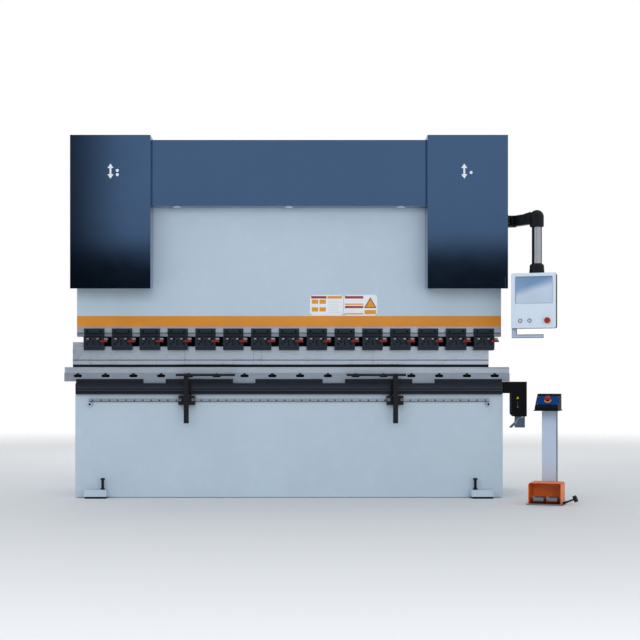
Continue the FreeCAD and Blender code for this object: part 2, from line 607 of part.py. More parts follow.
def clamp_bodies():
    """A row of quick clamps bolted under the ram, each with a slot for the punch tang."""
    shoulder = "bend_line - punch_half - tool_gap"
    far_shoulder = "bend_line + punch_half + tool_gap"
    profile = (
        (RAM_FRONT, "clamp_top"), (RAM_FRONT + " - jaw_deep", "clamp_top"),
        (RAM_FRONT + " - jaw_deep", "clamp_recess_top"), (RAM_FRONT + " - recess_deep", "clamp_recess_top"),
        (RAM_FRONT + " - recess_deep", "ram_bottom"), (RAM_FRONT + " - plate_front", "ram_bottom"),
        (RAM_FRONT + " - plate_front", "clamp_plate_bottom"),
        (RAM_FRONT + " - lip_deep", "clamp_plate_bottom"), (RAM_FRONT + " - lip_deep", "clamp_bottom"),
        (shoulder, "clamp_bottom"), (shoulder, "punch_shoulder + tool_gap"),
        ("bend_line - tang_half - tool_gap", "punch_shoulder + tool_gap"),
        ("bend_line - tang_half - tool_gap", "tang_top + tang_room"),
        ("bend_line + tang_half + tool_gap", "tang_top + tang_room"),
        ("bend_line + tang_half + tool_gap", "punch_shoulder + tool_gap"),
        (far_shoulder, "punch_shoulder + tool_gap"), (far_shoulder, "clamp_bottom"),
        (RAM_BACK, "clamp_bottom"), (RAM_BACK, "ram_bottom"), (RAM_FRONT, "ram_bottom"),
    )
    clamps = []
    for number in range(SIZES["clamp_count"]):
        centre = clamp_centre(number)
        block = prism("YZ", profile, centre + " - clamp_half", "2 * clamp_half")
        bolts = [rod("Y", "clamp_bolt_radius", "bolt_deep", "%s + %d * clamp_bolt_x" % (centre, side),
                     RAM_FRONT + " - jaw_deep", "clamp_bolt_z") for _, side in SIDES]
        bolts += [rod("Y", "lock_bolt_radius", "bolt_deep", "%s + %d * clamp_bolt_x" % (centre, side),
                      RAM_FRONT + " - plate_front", "lock_bolt_z") for side in (-1, 0)]
        clamps.append(cut(block, *bolts))
    node("clamp_bodies", group(*clamps))


def clamp_centre(number):
    return "clamp_pitch * %s" % (number - (SIZES["clamp_count"] - 1) / 2)


def clamp_levers():
    """One clamping lever per clamp, on a short hub standing off the clamp's front."""
    face = RAM_FRONT + " - plate_front"
    for number in range(SIZES["clamp_count"]):
        pivot = clamp_centre(number) + " + lever_x"
        hub = rod("Y", "lever_hub_radius", "lever_stand", pivot, face + " - lever_stand", "lever_z")
        grip = rod("X", "lever_radius", "lever_end - lever_x", pivot,
                   face + " - lever_stand + lever_radius", "lever_z")
        node("clamp_lever_%02d" % (number + 1), fuse(hub, grip))


def punch_segments():
    """Straight punches butted end to end, tang up, tip just above the bottom of the vee."""
    half = "punch_half"
    profile = (
        ("bend_line - punch_tip_half", "punch_tip"), ("bend_line + punch_tip_half", "punch_tip"),
        ("bend_line + " + half, "punch_taper"), ("bend_line + " + half, "punch_shoulder"),
        ("bend_line + tang_half", "punch_shoulder"), ("bend_line + tang_half", "tang_top"),
        ("bend_line - tang_half", "tang_top"), ("bend_line - tang_half", "punch_shoulder"),
        ("bend_line - " + half, "punch_shoulder"), ("bend_line - " + half, "punch_groove_top"),
        ("bend_line - punch_half + punch_groove_deep", "punch_groove_top"),
        ("bend_line - punch_half + punch_groove_deep", "punch_groove_bottom"),
        ("bend_line - " + half, "punch_groove_bottom"), ("bend_line - " + half, "punch_taper"),
    )
    node("punch_segments", segments(profile, "punch_start", PUNCH_LENGTHS))


def front_supports():
    """Carriage, post and support arm on each side of the bed's front rail."""
    rail_face = "(%s - front_rail_thick)" % BED_FRONT
    face = "(support_y + post_half + slide_gap)"
    back = BED_FRONT + " - carriage_gap"
    groove = rail_face + " - slide_gap"
    profile = (
        (face, "carriage_bottom"), (back, "carriage_bottom"),
        (back, "front_rail_bottom - slide_gap"), (groove, "front_rail_bottom - slide_gap"),
        (groove, "front_rail_top + slide_gap"), (back, "front_rail_top + slide_gap"),
        (back, "carriage_top"), (face, "carriage_top"),
    )
    for name, side in SIDES:
        middle = "support_%s_x" % name
        block = prism("YZ", profile, middle + " - carriage_half", "2 * carriage_half")
        key = box(middle + " - key_half", middle + " + key_half", face + " - key_deep", face,
                  "carriage_bottom", "carriage_top")
        node("carriage_" + name, fuse(block, key))
        post = box(middle + " - post_half", middle + " + post_half", "support_y - post_half",
                   "support_y + post_half", "post_bottom", "post_top")
        slot = box(middle + " - key_half - slide_gap", middle + " + key_half + slide_gap",
                   face + " - key_deep - 2 * slide_gap", face, "post_bottom", "post_top")
        node("post_" + name, cut(post, slot))
        ends = ("-arm_short", "arm_long") if side < 0 else ("-arm_long", "arm_short")
        node("arm_" + name, box(middle + " + " + ends[0], middle + " + " + ends[1],
                                "support_y - arm_half_width", "support_y + arm_half_width",
                                "post_top", "post_top + arm_thick"))


def back_gauge():
    """The cross beam on its rails and two stop fingers on blocks."""
    node("gauge_beam", box("-frame_inner + beam_end_gap", "frame_inner - beam_end_gap", "beam_front",
                           "beam_front + beam_deep", "gauge_rail_top", "gauge_rail_top + beam_high"))
    top = "gauge_rail_top + beam_high"
    for name, side in SIDES:
        middle = "%d * finger_x" % side
        block = box(middle + " - finger_block_half", middle + " + finger_block_half", "beam_front",
                    "beam_front + beam_deep", top, top + " + finger_block_high")
        finger = box(middle + " - finger_half", middle + " + finger_half", "finger_tip",
                     "beam_front + beam_deep", top + " + finger_block_high",
                     top + " + finger_block_high + finger_high")
        node("finger_" + name, fuse(block, finger))


def pendant():
    """Forked bracket on the right cover, swinging arm with its down tube, and the hanging box."""
    wall = box("cover_outer", "cover_outer + bracket_plate", "bracket_front", "bracket_back",
               "bracket_bottom", "bracket_top")
    ears = []
    for low in ("bracket_bottom", "bracket_top - lug_thick"):
        ears.append(box("cover_outer + bracket_plate", "pivot_x", "pivot_y - lug_half",
                        "pivot_y + lug_half", low, low + " + lug_thick"))
        ears.append(rod("Z", "lug_half", "lug_thick", "pivot_x", "pivot_y", low))
    pin = rod("Z", "pin_radius", "bracket_top - bracket_bottom", "pivot_x", "pivot_y", "bracket_bottom")
    node("pendant_bracket", fuse(wall, *ears, pin))

    hub_bottom = "(bracket_bottom + lug_thick + hub_gap)"
    hub_high = "(bracket_top - bracket_bottom - 2 * lug_thick - 2 * hub_gap)"
    hub = rod("Z", "hub_radius", hub_high, "0", "0", hub_bottom)
    neck = box("0", "arm_start", "-arm_side", "arm_side", hub_bottom, hub_bottom + " + " + hub_high)
    beam = box("arm_start", "arm_length", "-arm_side", "arm_side", "arm_bottom", "arm_top")
    elbow = rod("Z", "elbow_radius", "elbow_top - elbow_bottom", "arm_length", "0", "elbow_bottom")
    tube = rod("Z", "tube_radius", "elbow_bottom - tube_bottom", "arm_length", "0", "tube_bottom")
    bore = rod("Z", "pin_radius + running_gap", hub_high, "0", "0", hub_bottom)
    node("pendant_arm", turned_by(cut(fuse(hub, neck, beam, elbow, tube), bore), "arm_turn",
                                  "pivot_x", "pivot_y"))
    control_box()


BOX_X = "pivot_x + arm_length * cos(arm_turn)"
BOX_Y = "pivot_y + arm_length * sin(arm_turn)"


def control_box():
    """The box under the tube; its emergency stop and two push buttons slide in blind bores."""
    shell = box("box_shift - box_half", "box_shift + box_half", "-box_half_deep", "box_half_deep",
                "box_bottom", "box_top")
    rounded = round_edges(shell, "box_round", is_upright)
    collar = rod("Z", "collar_radius", "tube_bottom - box_top", "0", "0", "box_top")
    drop = rod("Z", "handle_radius", "box_bottom - handle_z", "handle_left", "0", "handle_z")
    grip = rod("X", "handle_radius", "handle_right - handle_left", "handle_left", "0", "handle_z")
    buttons = (("control_estop", "estop_x", "estop_stem", "estop_radius", "estop_out", "estop_head"),
               ("control_button_left", "button_left_x", "button_radius", None, "button_out", None),
               ("control_button_right", "button_right_x", "button_radius", None, "button_out", None))
    bores = []
    finished = []
    for name, x, stem, head, out, head_long in buttons:
        bores.append(rod("Y", stem + " + push_gap", "bore_in", x, "-box_half_deep", "button_z"))
        button = rod("Y", stem, out + " + stem_in", x, "-box_half_deep - " + out, "button_z")
        if head:
            cap = rod("Y", head, head_long, x, "-box_half_deep - " + out, "button_z")
            button = fuse(button, cap)
        finished.append((name, button))
    body = cut(fuse(rounded, collar, drop, grip), *bores)
    for name, item in [("control_box", body)] + finished:
        holder = group(item)
        node(name, turned_by(holder, "box_turn", BOX_X, BOX_Y))


def is_upright(edge):
    return abs(edge.tangentAt(edge.FirstParameter).z) > 0.9


def stand_node(name, item):
    """Name a piece of the pedestal and turn it with the pedestal."""
    node(name, turned_by(group(item), "stand_turn", "stand_x", "stand_y"))


def pedestal():
    """The foot pedestal: stand with its pedal pin, hood, two pedals and the side knob."""
    floor = box("-floor_half", "floor_half", "-floor_front", "floor_back", "0", "floor_thick")
    column = box("-column_half", "column_half", "column_front", "column_back", "floor_thick",
                 "column_top")
    pin = rod("X", "pedal_pin_radius", "2 * (hood_half - hood_wall)", "-hood_half + hood_wall",
              "pedal_pin_y", "pedal_pin_z")
    knob_rod = rod("X", "knob_rod_radius", "knob_reach", "0", "0", "0")
    knob = rod("X", "knob_radius", "knob_thick", "knob_reach", "0", "0")
    lever = group(fuse(knob_rod, knob))
    lever.Placement = FreeCAD.Placement(FreeCAD.Vector(), FreeCAD.Rotation(FreeCAD.Vector(0, 1, 0), 1))
    bind(lever, **{"Placement.Rotation.Angle": "knob_tilt"})
    place(lever, "floor_half", "knob_y", "knob_z")
    rest = box("hood_half", "floor_half + knob_rod_radius", "knob_y - knob_rod_radius",
               "knob_y + knob_rod_radius", "0", "knob_z + knob_rod_radius")
    stand_node("pedestal_stand", group(fuse(floor, column, lever, rest), pin))

    outside = box("-hood_half", "hood_half", "hood_front", "hood_back", "floor_thick", "hood_top")
    rounded = round_edges(outside, "hood_round", is_hood_shoulder)
    inside = box("-hood_half + hood_wall", "hood_half - hood_wall", "hood_front - hood_wall",
                 "hood_back - hood_wall", "floor_thick - hood_wall", "hood_top - hood_wall")
    stand_node("pedal_hood", cut(rounded, inside))

    for name, side in SIDES:
        ends = span(side, "pedal_inner", "pedal_inner + pedal_wide")
        tread = box(*ends, "pedal_front", "pedal_pin_y", "pedal_pin_z - pedal_thick / 2",
                    "pedal_pin_z + pedal_thick / 2")
        hub = rod("X", "pedal_hub_radius", "pedal_wide", ends[0], "pedal_pin_y", "pedal_pin_z")
        bore = rod("X", "pedal_pin_radius + running_gap", "pedal_wide", ends[0], "pedal_pin_y",
                   "pedal_pin_z")
        stand_node("pedal_" + name, cut(fuse(tread, hub), bore))
    console()


def is_hood_shoulder(edge):
    """The two top corners of the hood run front to back."""
    along_y = abs(edge.tangentAt(edge.FirstParameter).y) > 0.9
    return along_y and edge.CenterOfMass.z > SIZES["hood_top"] - 1


def console():
    """The sloped console on the column, with its emergency stop square to the slope."""
    profile = (
        ("console_front + console_step", "console_lip"), ("console_front + console_step", "console_low"),
        ("console_ridge", "console_top"), ("console_back", "console_top"),
        ("console_back", "console_lip"),
    )
    wedge = prism("YZ", profile, "-console_half", "2 * console_half")
    lip = box("-console_lip_half", "console_lip_half", "console_front", "console_back", "column_top",
              "console_lip")
    rise = SIZES["console_top"] - SIZES["console_low"]
    run = SIZES["console_ridge"] - SIZES["console_front"] - SIZES["console_step"]
    slope = math.degrees(math.atan2(rise, run))
    height = "console_low + (console_button_y - console_front - console_step) * %.6f" % (rise / run)
    bore = sloped(rod("Z", "estop_stem + push_gap", "bore_in", "0", "0", "-bore_in"), slope, height)
    stand_node("pedestal_console", cut(fuse(wedge, lip), bore))

    stem = rod("Z", "estop_stem", "stem_in + estop_out", "0", "0", "-stem_in")
    head = rod("Z", "estop_radius", "estop_head", "0", "0", "estop_out - estop_head")
    stand_node("pedestal_estop", sloped(fuse(stem, head), slope, height))


def sloped(item, slope, height):
    """Tip a piece built about +Z forward by the console's slope, at the button's place."""
    holder = group(item)
    holder.Placement = FreeCAD.Placement(FreeCAD.Vector(),
                                         FreeCAD.Rotation(FreeCAD.Vector(1, 0, 0), slope))
    return place(holder, "console_button_x", "console_button_y", height)


def check_and_write():
    """Stop on any failed object, then write one file per sub-part."""
    DOC.recompute()
    for item in DOC.Objects:
        if {"Invalid", "Error"} & set(item.State):
            raise RuntimeError("%s failed: %s" % (item.Label, item.State))
    os.makedirs("parts", exist_ok=True)
    for item in NODES:
        shape = item.Shape
        if shape.isNull() or not shape.isValid() or not shape.Solids:
            raise RuntimeError("bad shape: " + item.Label)
        shape.exportStep("parts/%s.step" % item.Label)
        print("%-24s %2d solids %9.3f litres" % (item.Label, len(shape.Solids), shape.Volume / 1e6))
    print(len(NODES), "sub-parts")


fill_sheet()
side_frames()
bed_beam()
levelling_feet()
crowning_table()
die_holder()
die_segments()
table_rail()
crowning_drive()
front_rail()
guide_rails()
cylinder_barrels()
piston_rods()
oil_tank()
power_pack()
side_covers()
centre_cover()
electrical_cabinet()
rear_guard()
ram_plate()
clamp_bodies()
clamp_levers()
punch_segments()
front_supports()
back_gauge()
pendant()
pedestal()
check_and_write()
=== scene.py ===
"""Looks of the CNC press brake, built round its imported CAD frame.

Everything is in metres in the frame's own axes: +X to the operator's right, +Y to the rear, +Z up.
Places come from the CAD nodes' boxes and the joints' positions; sizes of details are named here.
"""
import json
import math
from itertools import product

import bmesh
import bpy
from mathutils import Matrix, Vector


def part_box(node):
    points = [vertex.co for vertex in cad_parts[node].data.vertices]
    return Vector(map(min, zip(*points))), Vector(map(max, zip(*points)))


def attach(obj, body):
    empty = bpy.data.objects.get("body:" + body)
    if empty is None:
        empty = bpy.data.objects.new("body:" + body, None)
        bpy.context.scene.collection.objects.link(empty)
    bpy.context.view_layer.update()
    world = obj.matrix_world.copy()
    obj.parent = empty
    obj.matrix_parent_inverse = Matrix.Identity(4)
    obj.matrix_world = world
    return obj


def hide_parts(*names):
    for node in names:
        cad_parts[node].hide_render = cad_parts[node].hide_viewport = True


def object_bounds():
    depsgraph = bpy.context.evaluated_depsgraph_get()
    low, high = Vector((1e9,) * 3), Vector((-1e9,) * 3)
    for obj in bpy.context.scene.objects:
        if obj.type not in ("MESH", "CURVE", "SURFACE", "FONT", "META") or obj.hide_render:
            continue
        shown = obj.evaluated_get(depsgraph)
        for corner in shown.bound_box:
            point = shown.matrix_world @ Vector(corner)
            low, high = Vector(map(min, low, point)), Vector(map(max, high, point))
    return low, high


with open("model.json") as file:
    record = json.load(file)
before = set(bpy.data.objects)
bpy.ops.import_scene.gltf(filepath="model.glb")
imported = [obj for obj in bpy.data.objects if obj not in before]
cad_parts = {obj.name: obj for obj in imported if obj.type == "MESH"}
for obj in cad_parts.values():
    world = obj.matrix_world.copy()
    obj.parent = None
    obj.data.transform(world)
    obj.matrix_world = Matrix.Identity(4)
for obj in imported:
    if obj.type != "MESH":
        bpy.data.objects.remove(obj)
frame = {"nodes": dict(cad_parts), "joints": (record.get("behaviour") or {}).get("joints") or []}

CAD_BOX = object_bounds()
BOX = {name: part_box(name) for name in frame["nodes"]}
JOINT = {joint["name"]: joint for joint in frame["joints"]}
SIDES = (("left", -1), ("right", 1))
LEFT, RIGHT = Vector((-1, 0, 0)), Vector((1, 0, 0))
FRONT, BACK = Vector((0, -1, 0)), Vector((0, 1, 0))
UP, DOWN = Vector((0, 0, 1)), Vector((0, 0, -1))


# ---------------------------------------------------------------- shapes

def facing(point, out):
    """A local frame at point: its Z looks along out, its Y as far up as it can."""
    z_axis = Vector(out).normalized()
    lean = BACK if abs(z_axis.z) > 0.99 else UP
    x_axis = lean.cross(z_axis).normalized()
    y_axis = z_axis.cross(x_axis)
    turn = Matrix((x_axis, y_axis, z_axis)).transposed().to_4x4()
    return Matrix.Translation(Vector(point)) @ turn


def merge(mesh, part, look=0, place=None):
    """Move a finished part into the mesh of its piece."""
    if place is not None:
        bmesh.ops.transform(part, matrix=place, verts=part.verts[:])
    bmesh.ops.recalc_face_normals(part, faces=part.faces[:])
    for face in part.faces:
        face.material_index = look
    carrier = bpy.data.meshes.new("carrier")
    part.to_mesh(carrier)
    part.free()
    mesh.from_mesh(carrier)
    bpy.data.meshes.remove(carrier)


def block(mesh, low, high, bevel=0.001, look=0, place=None):
    """A box between two corners with rounded edges."""
    part = bmesh.new()
    bmesh.ops.create_cube(part, size=1.0)
    low, high = Vector(low), Vector(high)
    for vert in part.verts:
        vert.co = Vector(a + (b - a) * (c + 0.5) for a, b, c in zip(low, high, vert.co))
    if bevel:
        bmesh.ops.bevel(part, geom=part.edges[:], offset=bevel, segments=2, profile=0.5,
                        affect="EDGES", clamp_overlap=True)
    merge(mesh, part, look, place)


def prism(mesh, outline, depth, place, bevel=0.0, look=0, start=0.0):
    """A flat outline in local X and Y, drawn out from start to depth along local Z."""
    part = bmesh.new()
    ends = [[part.verts.new((x, y, z)) for x, y in outline] for z in (start, depth)]
    part.faces.new(ends[0])
    part.faces.new(ends[1])
    for number in range(len(outline)):
        after = (number + 1) % len(outline)
        part.faces.new((ends[0][number], ends[0][after], ends[1][after], ends[1][number]))
    if bevel:
        bmesh.ops.recalc_face_normals(part, faces=part.faces[:])
        sharp = [edge for edge in part.edges if edge.calc_face_angle(0) > math.radians(30)]
        bmesh.ops.bevel(part, geom=sharp, offset=bevel, segments=2, profile=0.5,
                        affect="EDGES", clamp_overlap=True)
    merge(mesh, part, look, place)


def rounded(half_x, half_y, radius, steps=5):
    """A rectangle with round corners about the local origin."""
    points = []
    for quarter, (sx, sy) in enumerate(((1, 1), (-1, 1), (-1, -1), (1, -1))):
        for step in range(steps + 1):
            angle = math.pi / 2 * (quarter + step / steps)
            points.append((sx * (half_x - radius) + radius * math.cos(angle),
                           sy * (half_y - radius) + radius * math.sin(angle)))
    return points


def six_sided(angle):
    """How far a hexagon's side stands at an angle, for a corner radius of 1."""
    within = (angle + math.pi / 6) % (math.pi / 3) - math.pi / 6
    return math.cos(math.pi / 6) / math.cos(math.pi / 6 - abs(within))


def lathe(mesh, profile, place, look=0, segments=24, closed=False):
    """Turn (radius, height) about local Z; an entry with a third item is six-sided."""
    part = bmesh.new()
    rings = []
    for radius, height, *hexagon in profile:
        if radius < 1e-7:
            rings.append([part.verts.new((0, 0, height))])
            continue
        ring = []
        for step in range(segments):
            angle = 2 * math.pi * step / segments
            reach = radius * six_sided(angle) if hexagon else radius
            ring.append(part.verts.new((reach * math.cos(angle), reach * math.sin(angle), height)))
        rings.append(ring)
    pairs = list(zip(rings, rings[1:]))
    if closed:
        pairs.append((rings[-1], rings[0]))
    for low, high in pairs:
        for step in range(segments):
            after = (step + 1) % segments
            corners = dict.fromkeys([low[step % len(low)], low[after % len(low)],
                                     high[after % len(high)], high[step % len(high)]])
            if len(corners) > 2:
                part.faces.new(list(corners))
    merge(mesh, part, look, place)


def disc(mesh, radius, height, place, bevel=0.001, look=0, segments=32, start=0.0):
    """A round plate or rod with softened rims."""
    profile = ((0, start), (radius - bevel, start), (radius, start + bevel),
               (radius, height - bevel), (radius - bevel, height), (0, height))
    lathe(mesh, profile, place, look, segments)


def ring(mesh, outer, inner, height, place, bevel=0.0008, look=0, segments=32):
    """A flat collar with softened upper rims."""
    profile = ((inner, 0), (outer, 0), (outer, height - bevel), (outer - bevel, height),
               (inner + bevel, height), (inner, height - bevel))
    lathe(mesh, profile, place, look, segments, closed=True)


def socket_screw(mesh, point, out, radius, height=None, look=0):
    """A cap screw's head with its hexagon socket."""
    high = height or radius
    soft = radius * 0.14
    profile = ((0, 0), (radius, 0), (radius, high - soft), (radius - soft, high),
               (radius * 0.58, high, 6), (radius * 0.58, high * 0.45, 6), (0, high * 0.45))
    lathe(mesh, profile, facing(point, out), look)


def hex_bolt(mesh, point, out, radius, height=None):
    """A hexagon head on a washer."""
    high = height or radius * 0.8
    flat = high * 0.2
    profile = ((0, 0), (radius * 1.25, 0), (radius * 1.25, flat), (radius, flat, 6),
               (radius, high * 0.9, 6), (radius * 0.82, high), (0, high))
    lathe(mesh, profile, facing(point, out))


def pipe(mesh, points, radius, bend, look=0, sides=16):
    """A round pipe through points with each corner bent to one radius."""
    points = [Vector(point) for point in points]
    line = [points[0]]
    for before, corner, after in zip(points, points[1:], points[2:]):
        inward, outward = (before - corner).normalized(), (after - corner).normalized()
        half = inward.angle(outward) / 2
        middle = corner + (inward + outward).normalized() * bend / math.sin(half)
        start = corner + inward * bend / math.tan(half) - middle
        end = corner + outward * bend / math.tan(half) - middle
        for step in range(7):
            share = start.lerp(end, step / 6)
            line.append(middle + share.normalized() * bend)
    line.append(points[-1])
    part = bmesh.new()
    across = (line[1] - line[0]).orthogonal().normalized()
    rings = []
    for number, point in enumerate(line):
        ahead = line[min(number + 1, len(line) - 1)] - line[max(number - 1, 0)]
        ahead.normalize()
        across = (across - ahead * across.dot(ahead)).normalized()
        other = ahead.cross(across)
        circle = []
        for step in range(sides):
            angle = 2 * math.pi * step / sides
            offset = across * math.cos(angle) + other * math.sin(angle)
            circle.append(part.verts.new(point + offset * radius))
        rings.append(circle)
    for low, high in zip(rings, rings[1:]):
        for step in range(sides):
            after = (step + 1) % sides
            part.faces.new((low[step], low[after], high[after], high[step]))
    part.faces.new(rings[0])
    part.faces.new(rings[-1])
    merge(mesh, part, look)


def piece(name, mesh, looks, body="frame"):
    """Finish a piece: its mesh, materials and body."""
    data = bpy.data.meshes.new(name)
    mesh.to_mesh(data)
    mesh.free()
    for face in data.polygons:
        face.use_smooth = True
    data.set_sharp_from_angle(angle=math.radians(32))
    for look in looks:
        data.materials.append(look)
    item = bpy.data.objects.new(name, data)
    bpy.context.scene.collection.objects.link(item)
    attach(item, body)
    return item


def row_of(count, pitch):
    """Places of some evenly spaced things about the middle."""
    return [(number - (count - 1) / 2) * pitch for number in range(count)]


def local_box(names, place):
    """Lowest and highest corner of some CAD nodes in a turned frame."""
    inverse = place.inverted()
    points = [inverse @ vert.co for name in names for vert in frame["nodes"][name].data.vertices]
    low = Vector(min(point[axis] for point in points) for axis in range(3))
    high = Vector(max(point[axis] for point in points) for axis in range(3))
    return low, high


# ---------------------------------------------------------------- materials

def shade(red, green, blue):
    """A colour given as a screen colour, 0 to 255."""
    values = [part / 255 for part in (red, green, blue)]
    return tuple(v / 12.92 if v <= 0.04045 else ((v + 0.055) / 1.055) ** 2.4 for v in values) + (1,)


def darker(colour, share):
    """A colour times a share, which may also be above 1."""
    return tuple(min(1.0, part * share) for part in colour[:3]) + (1,)


SOFT_EDGE, FINE_EDGE = 0.0006, 0.0004  # how far a painted edge fades


class Nodes:
    """A node tree, and short names for the nodes that are used everywhere."""

    def __init__(self, owner):
        owner.use_nodes = True
        self.tree = owner.node_tree
        self.tree.nodes.clear()

    def add(self, kind, inputs=None, **settings):
        made = self.tree.nodes.new(kind)
        for name, value in settings.items():
            setattr(made, name, value)
        for name, value in (inputs or {}).items():
            self.put(made.inputs[name], value)
        return made

    def put(self, target, value):
        if isinstance(value, bpy.types.NodeSocket):
            self.wire(value, target)
        else:
            target.default_value = value

    def wire(self, start, end):
        self.tree.links.new(start, end)

    def span(self, value, low, high, out_low=0.0, out_high=1.0):
        """Map low..high to out_low..out_high, clamped."""
        return self.add("ShaderNodeMapRange", {"Value": value, "From Min": low, "From Max": high,
                                               "To Min": out_low, "To Max": out_high}).outputs[0]

    def math(self, operation, first, second=0.0):
        made = self.add("ShaderNodeMath", operation=operation)
        self.put(made.inputs[0], first)
        self.put(made.inputs[1], second)
        return made.outputs[0]


class Look(Nodes):
    """A material: one Principled shader, and helpers that wire textures into it."""

    def __init__(self, name, colour, rough, metal=0.0, coat=0.0, place=None, specular=0.5):
        self.material = bpy.data.materials.new(name)
        super().__init__(self.material)
        self.shader = self.add("ShaderNodeBsdfPrincipled")
        self.wire(self.shader.outputs[0], self.add("ShaderNodeOutputMaterial").inputs[0])
        self.colour = self.add("ShaderNodeRGB").outputs[0]
        self.colour.default_value = colour
        self.rough = self.add("ShaderNodeValue").outputs[0]
        self.rough.default_value = rough
        self.metal = self.add("ShaderNodeValue").outputs[0]
        self.metal.default_value = metal
        self.shader.inputs["Coat Weight"].default_value = coat
        self.shader.inputs["Coat Roughness"].default_value = 0.12
        self.shader.inputs["Specular IOR Level"].default_value = specular
        self.height = None
        self.where = self.add("ShaderNodeTexCoord").outputs["Object"]
        if place is not None:
            inverse = place.inverted()
            moved = self.add("ShaderNodeMapping", {"Vector": self.where})
            moved.inputs["Location"].default_value = inverse.to_translation()
            moved.inputs["Rotation"].default_value = inverse.to_euler()
            self.where = moved.outputs[0]

    def noise(self, scale, stretch=(1, 1, 1), detail=4.0, rough=0.55):
        """Noise of a scale in cells per metre, stretched by axis."""
        vector = self.add("ShaderNodeMapping", {"Vector": self.where, "Scale": stretch}).outputs[0]
        return self.add("ShaderNodeTexNoise", {"Vector": vector, "Scale": scale, "Detail": detail,
                                               "Roughness": rough}).outputs["Fac"]

    def axis(self, name):
        return self.add("ShaderNodeSeparateXYZ", {"Vector": self.where}).outputs[name]

    def above(self, axis, level, fade):
        """1 above a level on an axis, 0 below it, fading over a short way."""
        return self.span(self.axis(axis), level, level + fade)

    def below(self, axis, level, fade=SOFT_EDGE, share=1.0):
        """A share below a level on an axis, 0 above it."""
        return self.span(self.axis(axis), level, level - fade, 0.0, share)

    def band(self, axis, low, high):
        """1 between two levels on an axis."""
        return self.math("MULTIPLY", self.above(axis, low, FINE_EDGE), self.below(axis, high, FINE_EDGE))

    def tint(self, share, colour):
        """Mix a colour over the present one by a share, a number or a socket."""
        made = self.add("ShaderNodeMix", data_type="RGBA")
        self.put(made.inputs["Factor"], share)
        self.put(made.inputs[6], self.colour)
        self.put(made.inputs[7], colour)
        self.colour = made.outputs[2]

    def blend_value(self, which, share, value):
        """Mix roughness ("rough") or metalness ("metal") towards a value."""
        made = self.add("ShaderNodeMix", data_type="FLOAT")
        self.put(made.inputs["Factor"], share)
        self.put(made.inputs[2], getattr(self, which))
        self.put(made.inputs[3], value)
        setattr(self, which, made.outputs[0])

    def uneven(self, scale, amount):
        """Cloudy lightness over the whole surface."""
        cloud = self.noise(scale, detail=3.0)
        self.tint(self.span(cloud, 0.35, 0.65, 0.0, amount), darker(self.base(), 0.55))
        speck = self.noise(scale * 9, detail=2.0)
        self.tint(self.span(speck, 0.5, 0.8, 0.0, amount), darker(self.base(), 1.35))

    def base(self):
        """The plain colour that this material started from."""
        source = [node for node in self.tree.nodes if node.bl_idname == "ShaderNodeRGB"][0]
        return tuple(source.outputs[0].default_value)

    def smudge(self, scale, amount):
        """Rubbed patches: roughness that comes and goes."""
        patch = self.span(self.noise(scale, detail=5.0), 0.35, 0.7)
        level = self.math("MULTIPLY", patch, amount)
        self.rough = self.math("ADD", self.rough, level)

    def relief(self, height, strength, distance):
        """Add a bump from a height socket, on top of the earlier ones."""
        made = self.add("ShaderNodeBump", {"Height": height, "Strength": strength,
                                           "Distance": distance})
        if self.height is not None:
            self.wire(self.height, made.inputs["Normal"])
        self.height = made.outputs[0]

    def edges(self, radius):
        """1 along sharp edges and 0 on flat faces."""
        soft = self.add("ShaderNodeBevel", {"Radius": radius}, samples=4).outputs[0]
        true = self.add("ShaderNodeNewGeometry").outputs["Normal"]
        dot = self.add("ShaderNodeVectorMath", {0: soft, 1: true}, operation="DOT_PRODUCT")
        return self.span(dot.outputs["Value"], 0.995, 0.9)

    def worn(self, colour, radius, amount):
        """Bare metal showing along handled edges, broken up by noise."""
        broken = self.span(self.noise(90, detail=3.0), 0.42, 0.62)
        mask = self.math("MULTIPLY", self.edges(radius), self.math("MULTIPLY", broken, amount))
        self.tint(mask, colour)
        self.blend_value("metal", mask, 1.0)
        self.blend_value("rough", mask, 0.35)

    def brushed(self, stretch, colour_share, strength):
        """Grinding marks: noise drawn out along one axis."""
        marks = self.noise(1.0, stretch, detail=6.0, rough=0.7)
        self.tint(self.span(marks, 0.38, 0.62, 0.0, colour_share), darker(self.base(), 0.45))
        self.rough = self.math("ADD", self.rough, self.span(marks, 0.3, 0.7, -0.05, 0.08))
        self.relief(marks, strength, 0.0004)

    def done(self):
        self.wire(self.colour, self.shader.inputs["Base Color"])
        self.wire(self.rough, self.shader.inputs["Roughness"])
        self.wire(self.metal, self.shader.inputs["Metallic"])
        if self.height is not None:
            self.wire(self.height, self.shader.inputs["Normal"])
        return self.material


def sheet_paint(name, colour, rough=0.42, coat=0.15, cloud=0.1, place=None, wear=None):
    """Sprayed enamel on plate: faint clouds, orange peel, dulled patches, and worn edges on request."""
    look = Look(name, colour, rough, coat=coat, place=place)
    look.uneven(1.6, cloud)
    look.smudge(9, 0.08)
    look.relief(look.noise(420, detail=2.0), 0.1, 0.0006)
    look.relief(look.noise(5, detail=2.0), 0.08, 0.002)
    if wear:
        look.worn(*wear)
    return look


def steel(name, colour, rough=0.34, stretch=(3, 500, 700), share=0.25, strength=0.08):
    """Ground steel with marks along its length and the odd stain."""
    look = Look(name, colour, rough, metal=0.8)
    look.brushed(stretch, share, strength)
    stain = look.span(look.noise(6, (1, 1, 4), detail=5.0), 0.56, 0.72)
    look.tint(look.math("MULTIPLY", stain, 0.22), darker(colour, 0.45))
    look.smudge(22, 0.1)
    return look


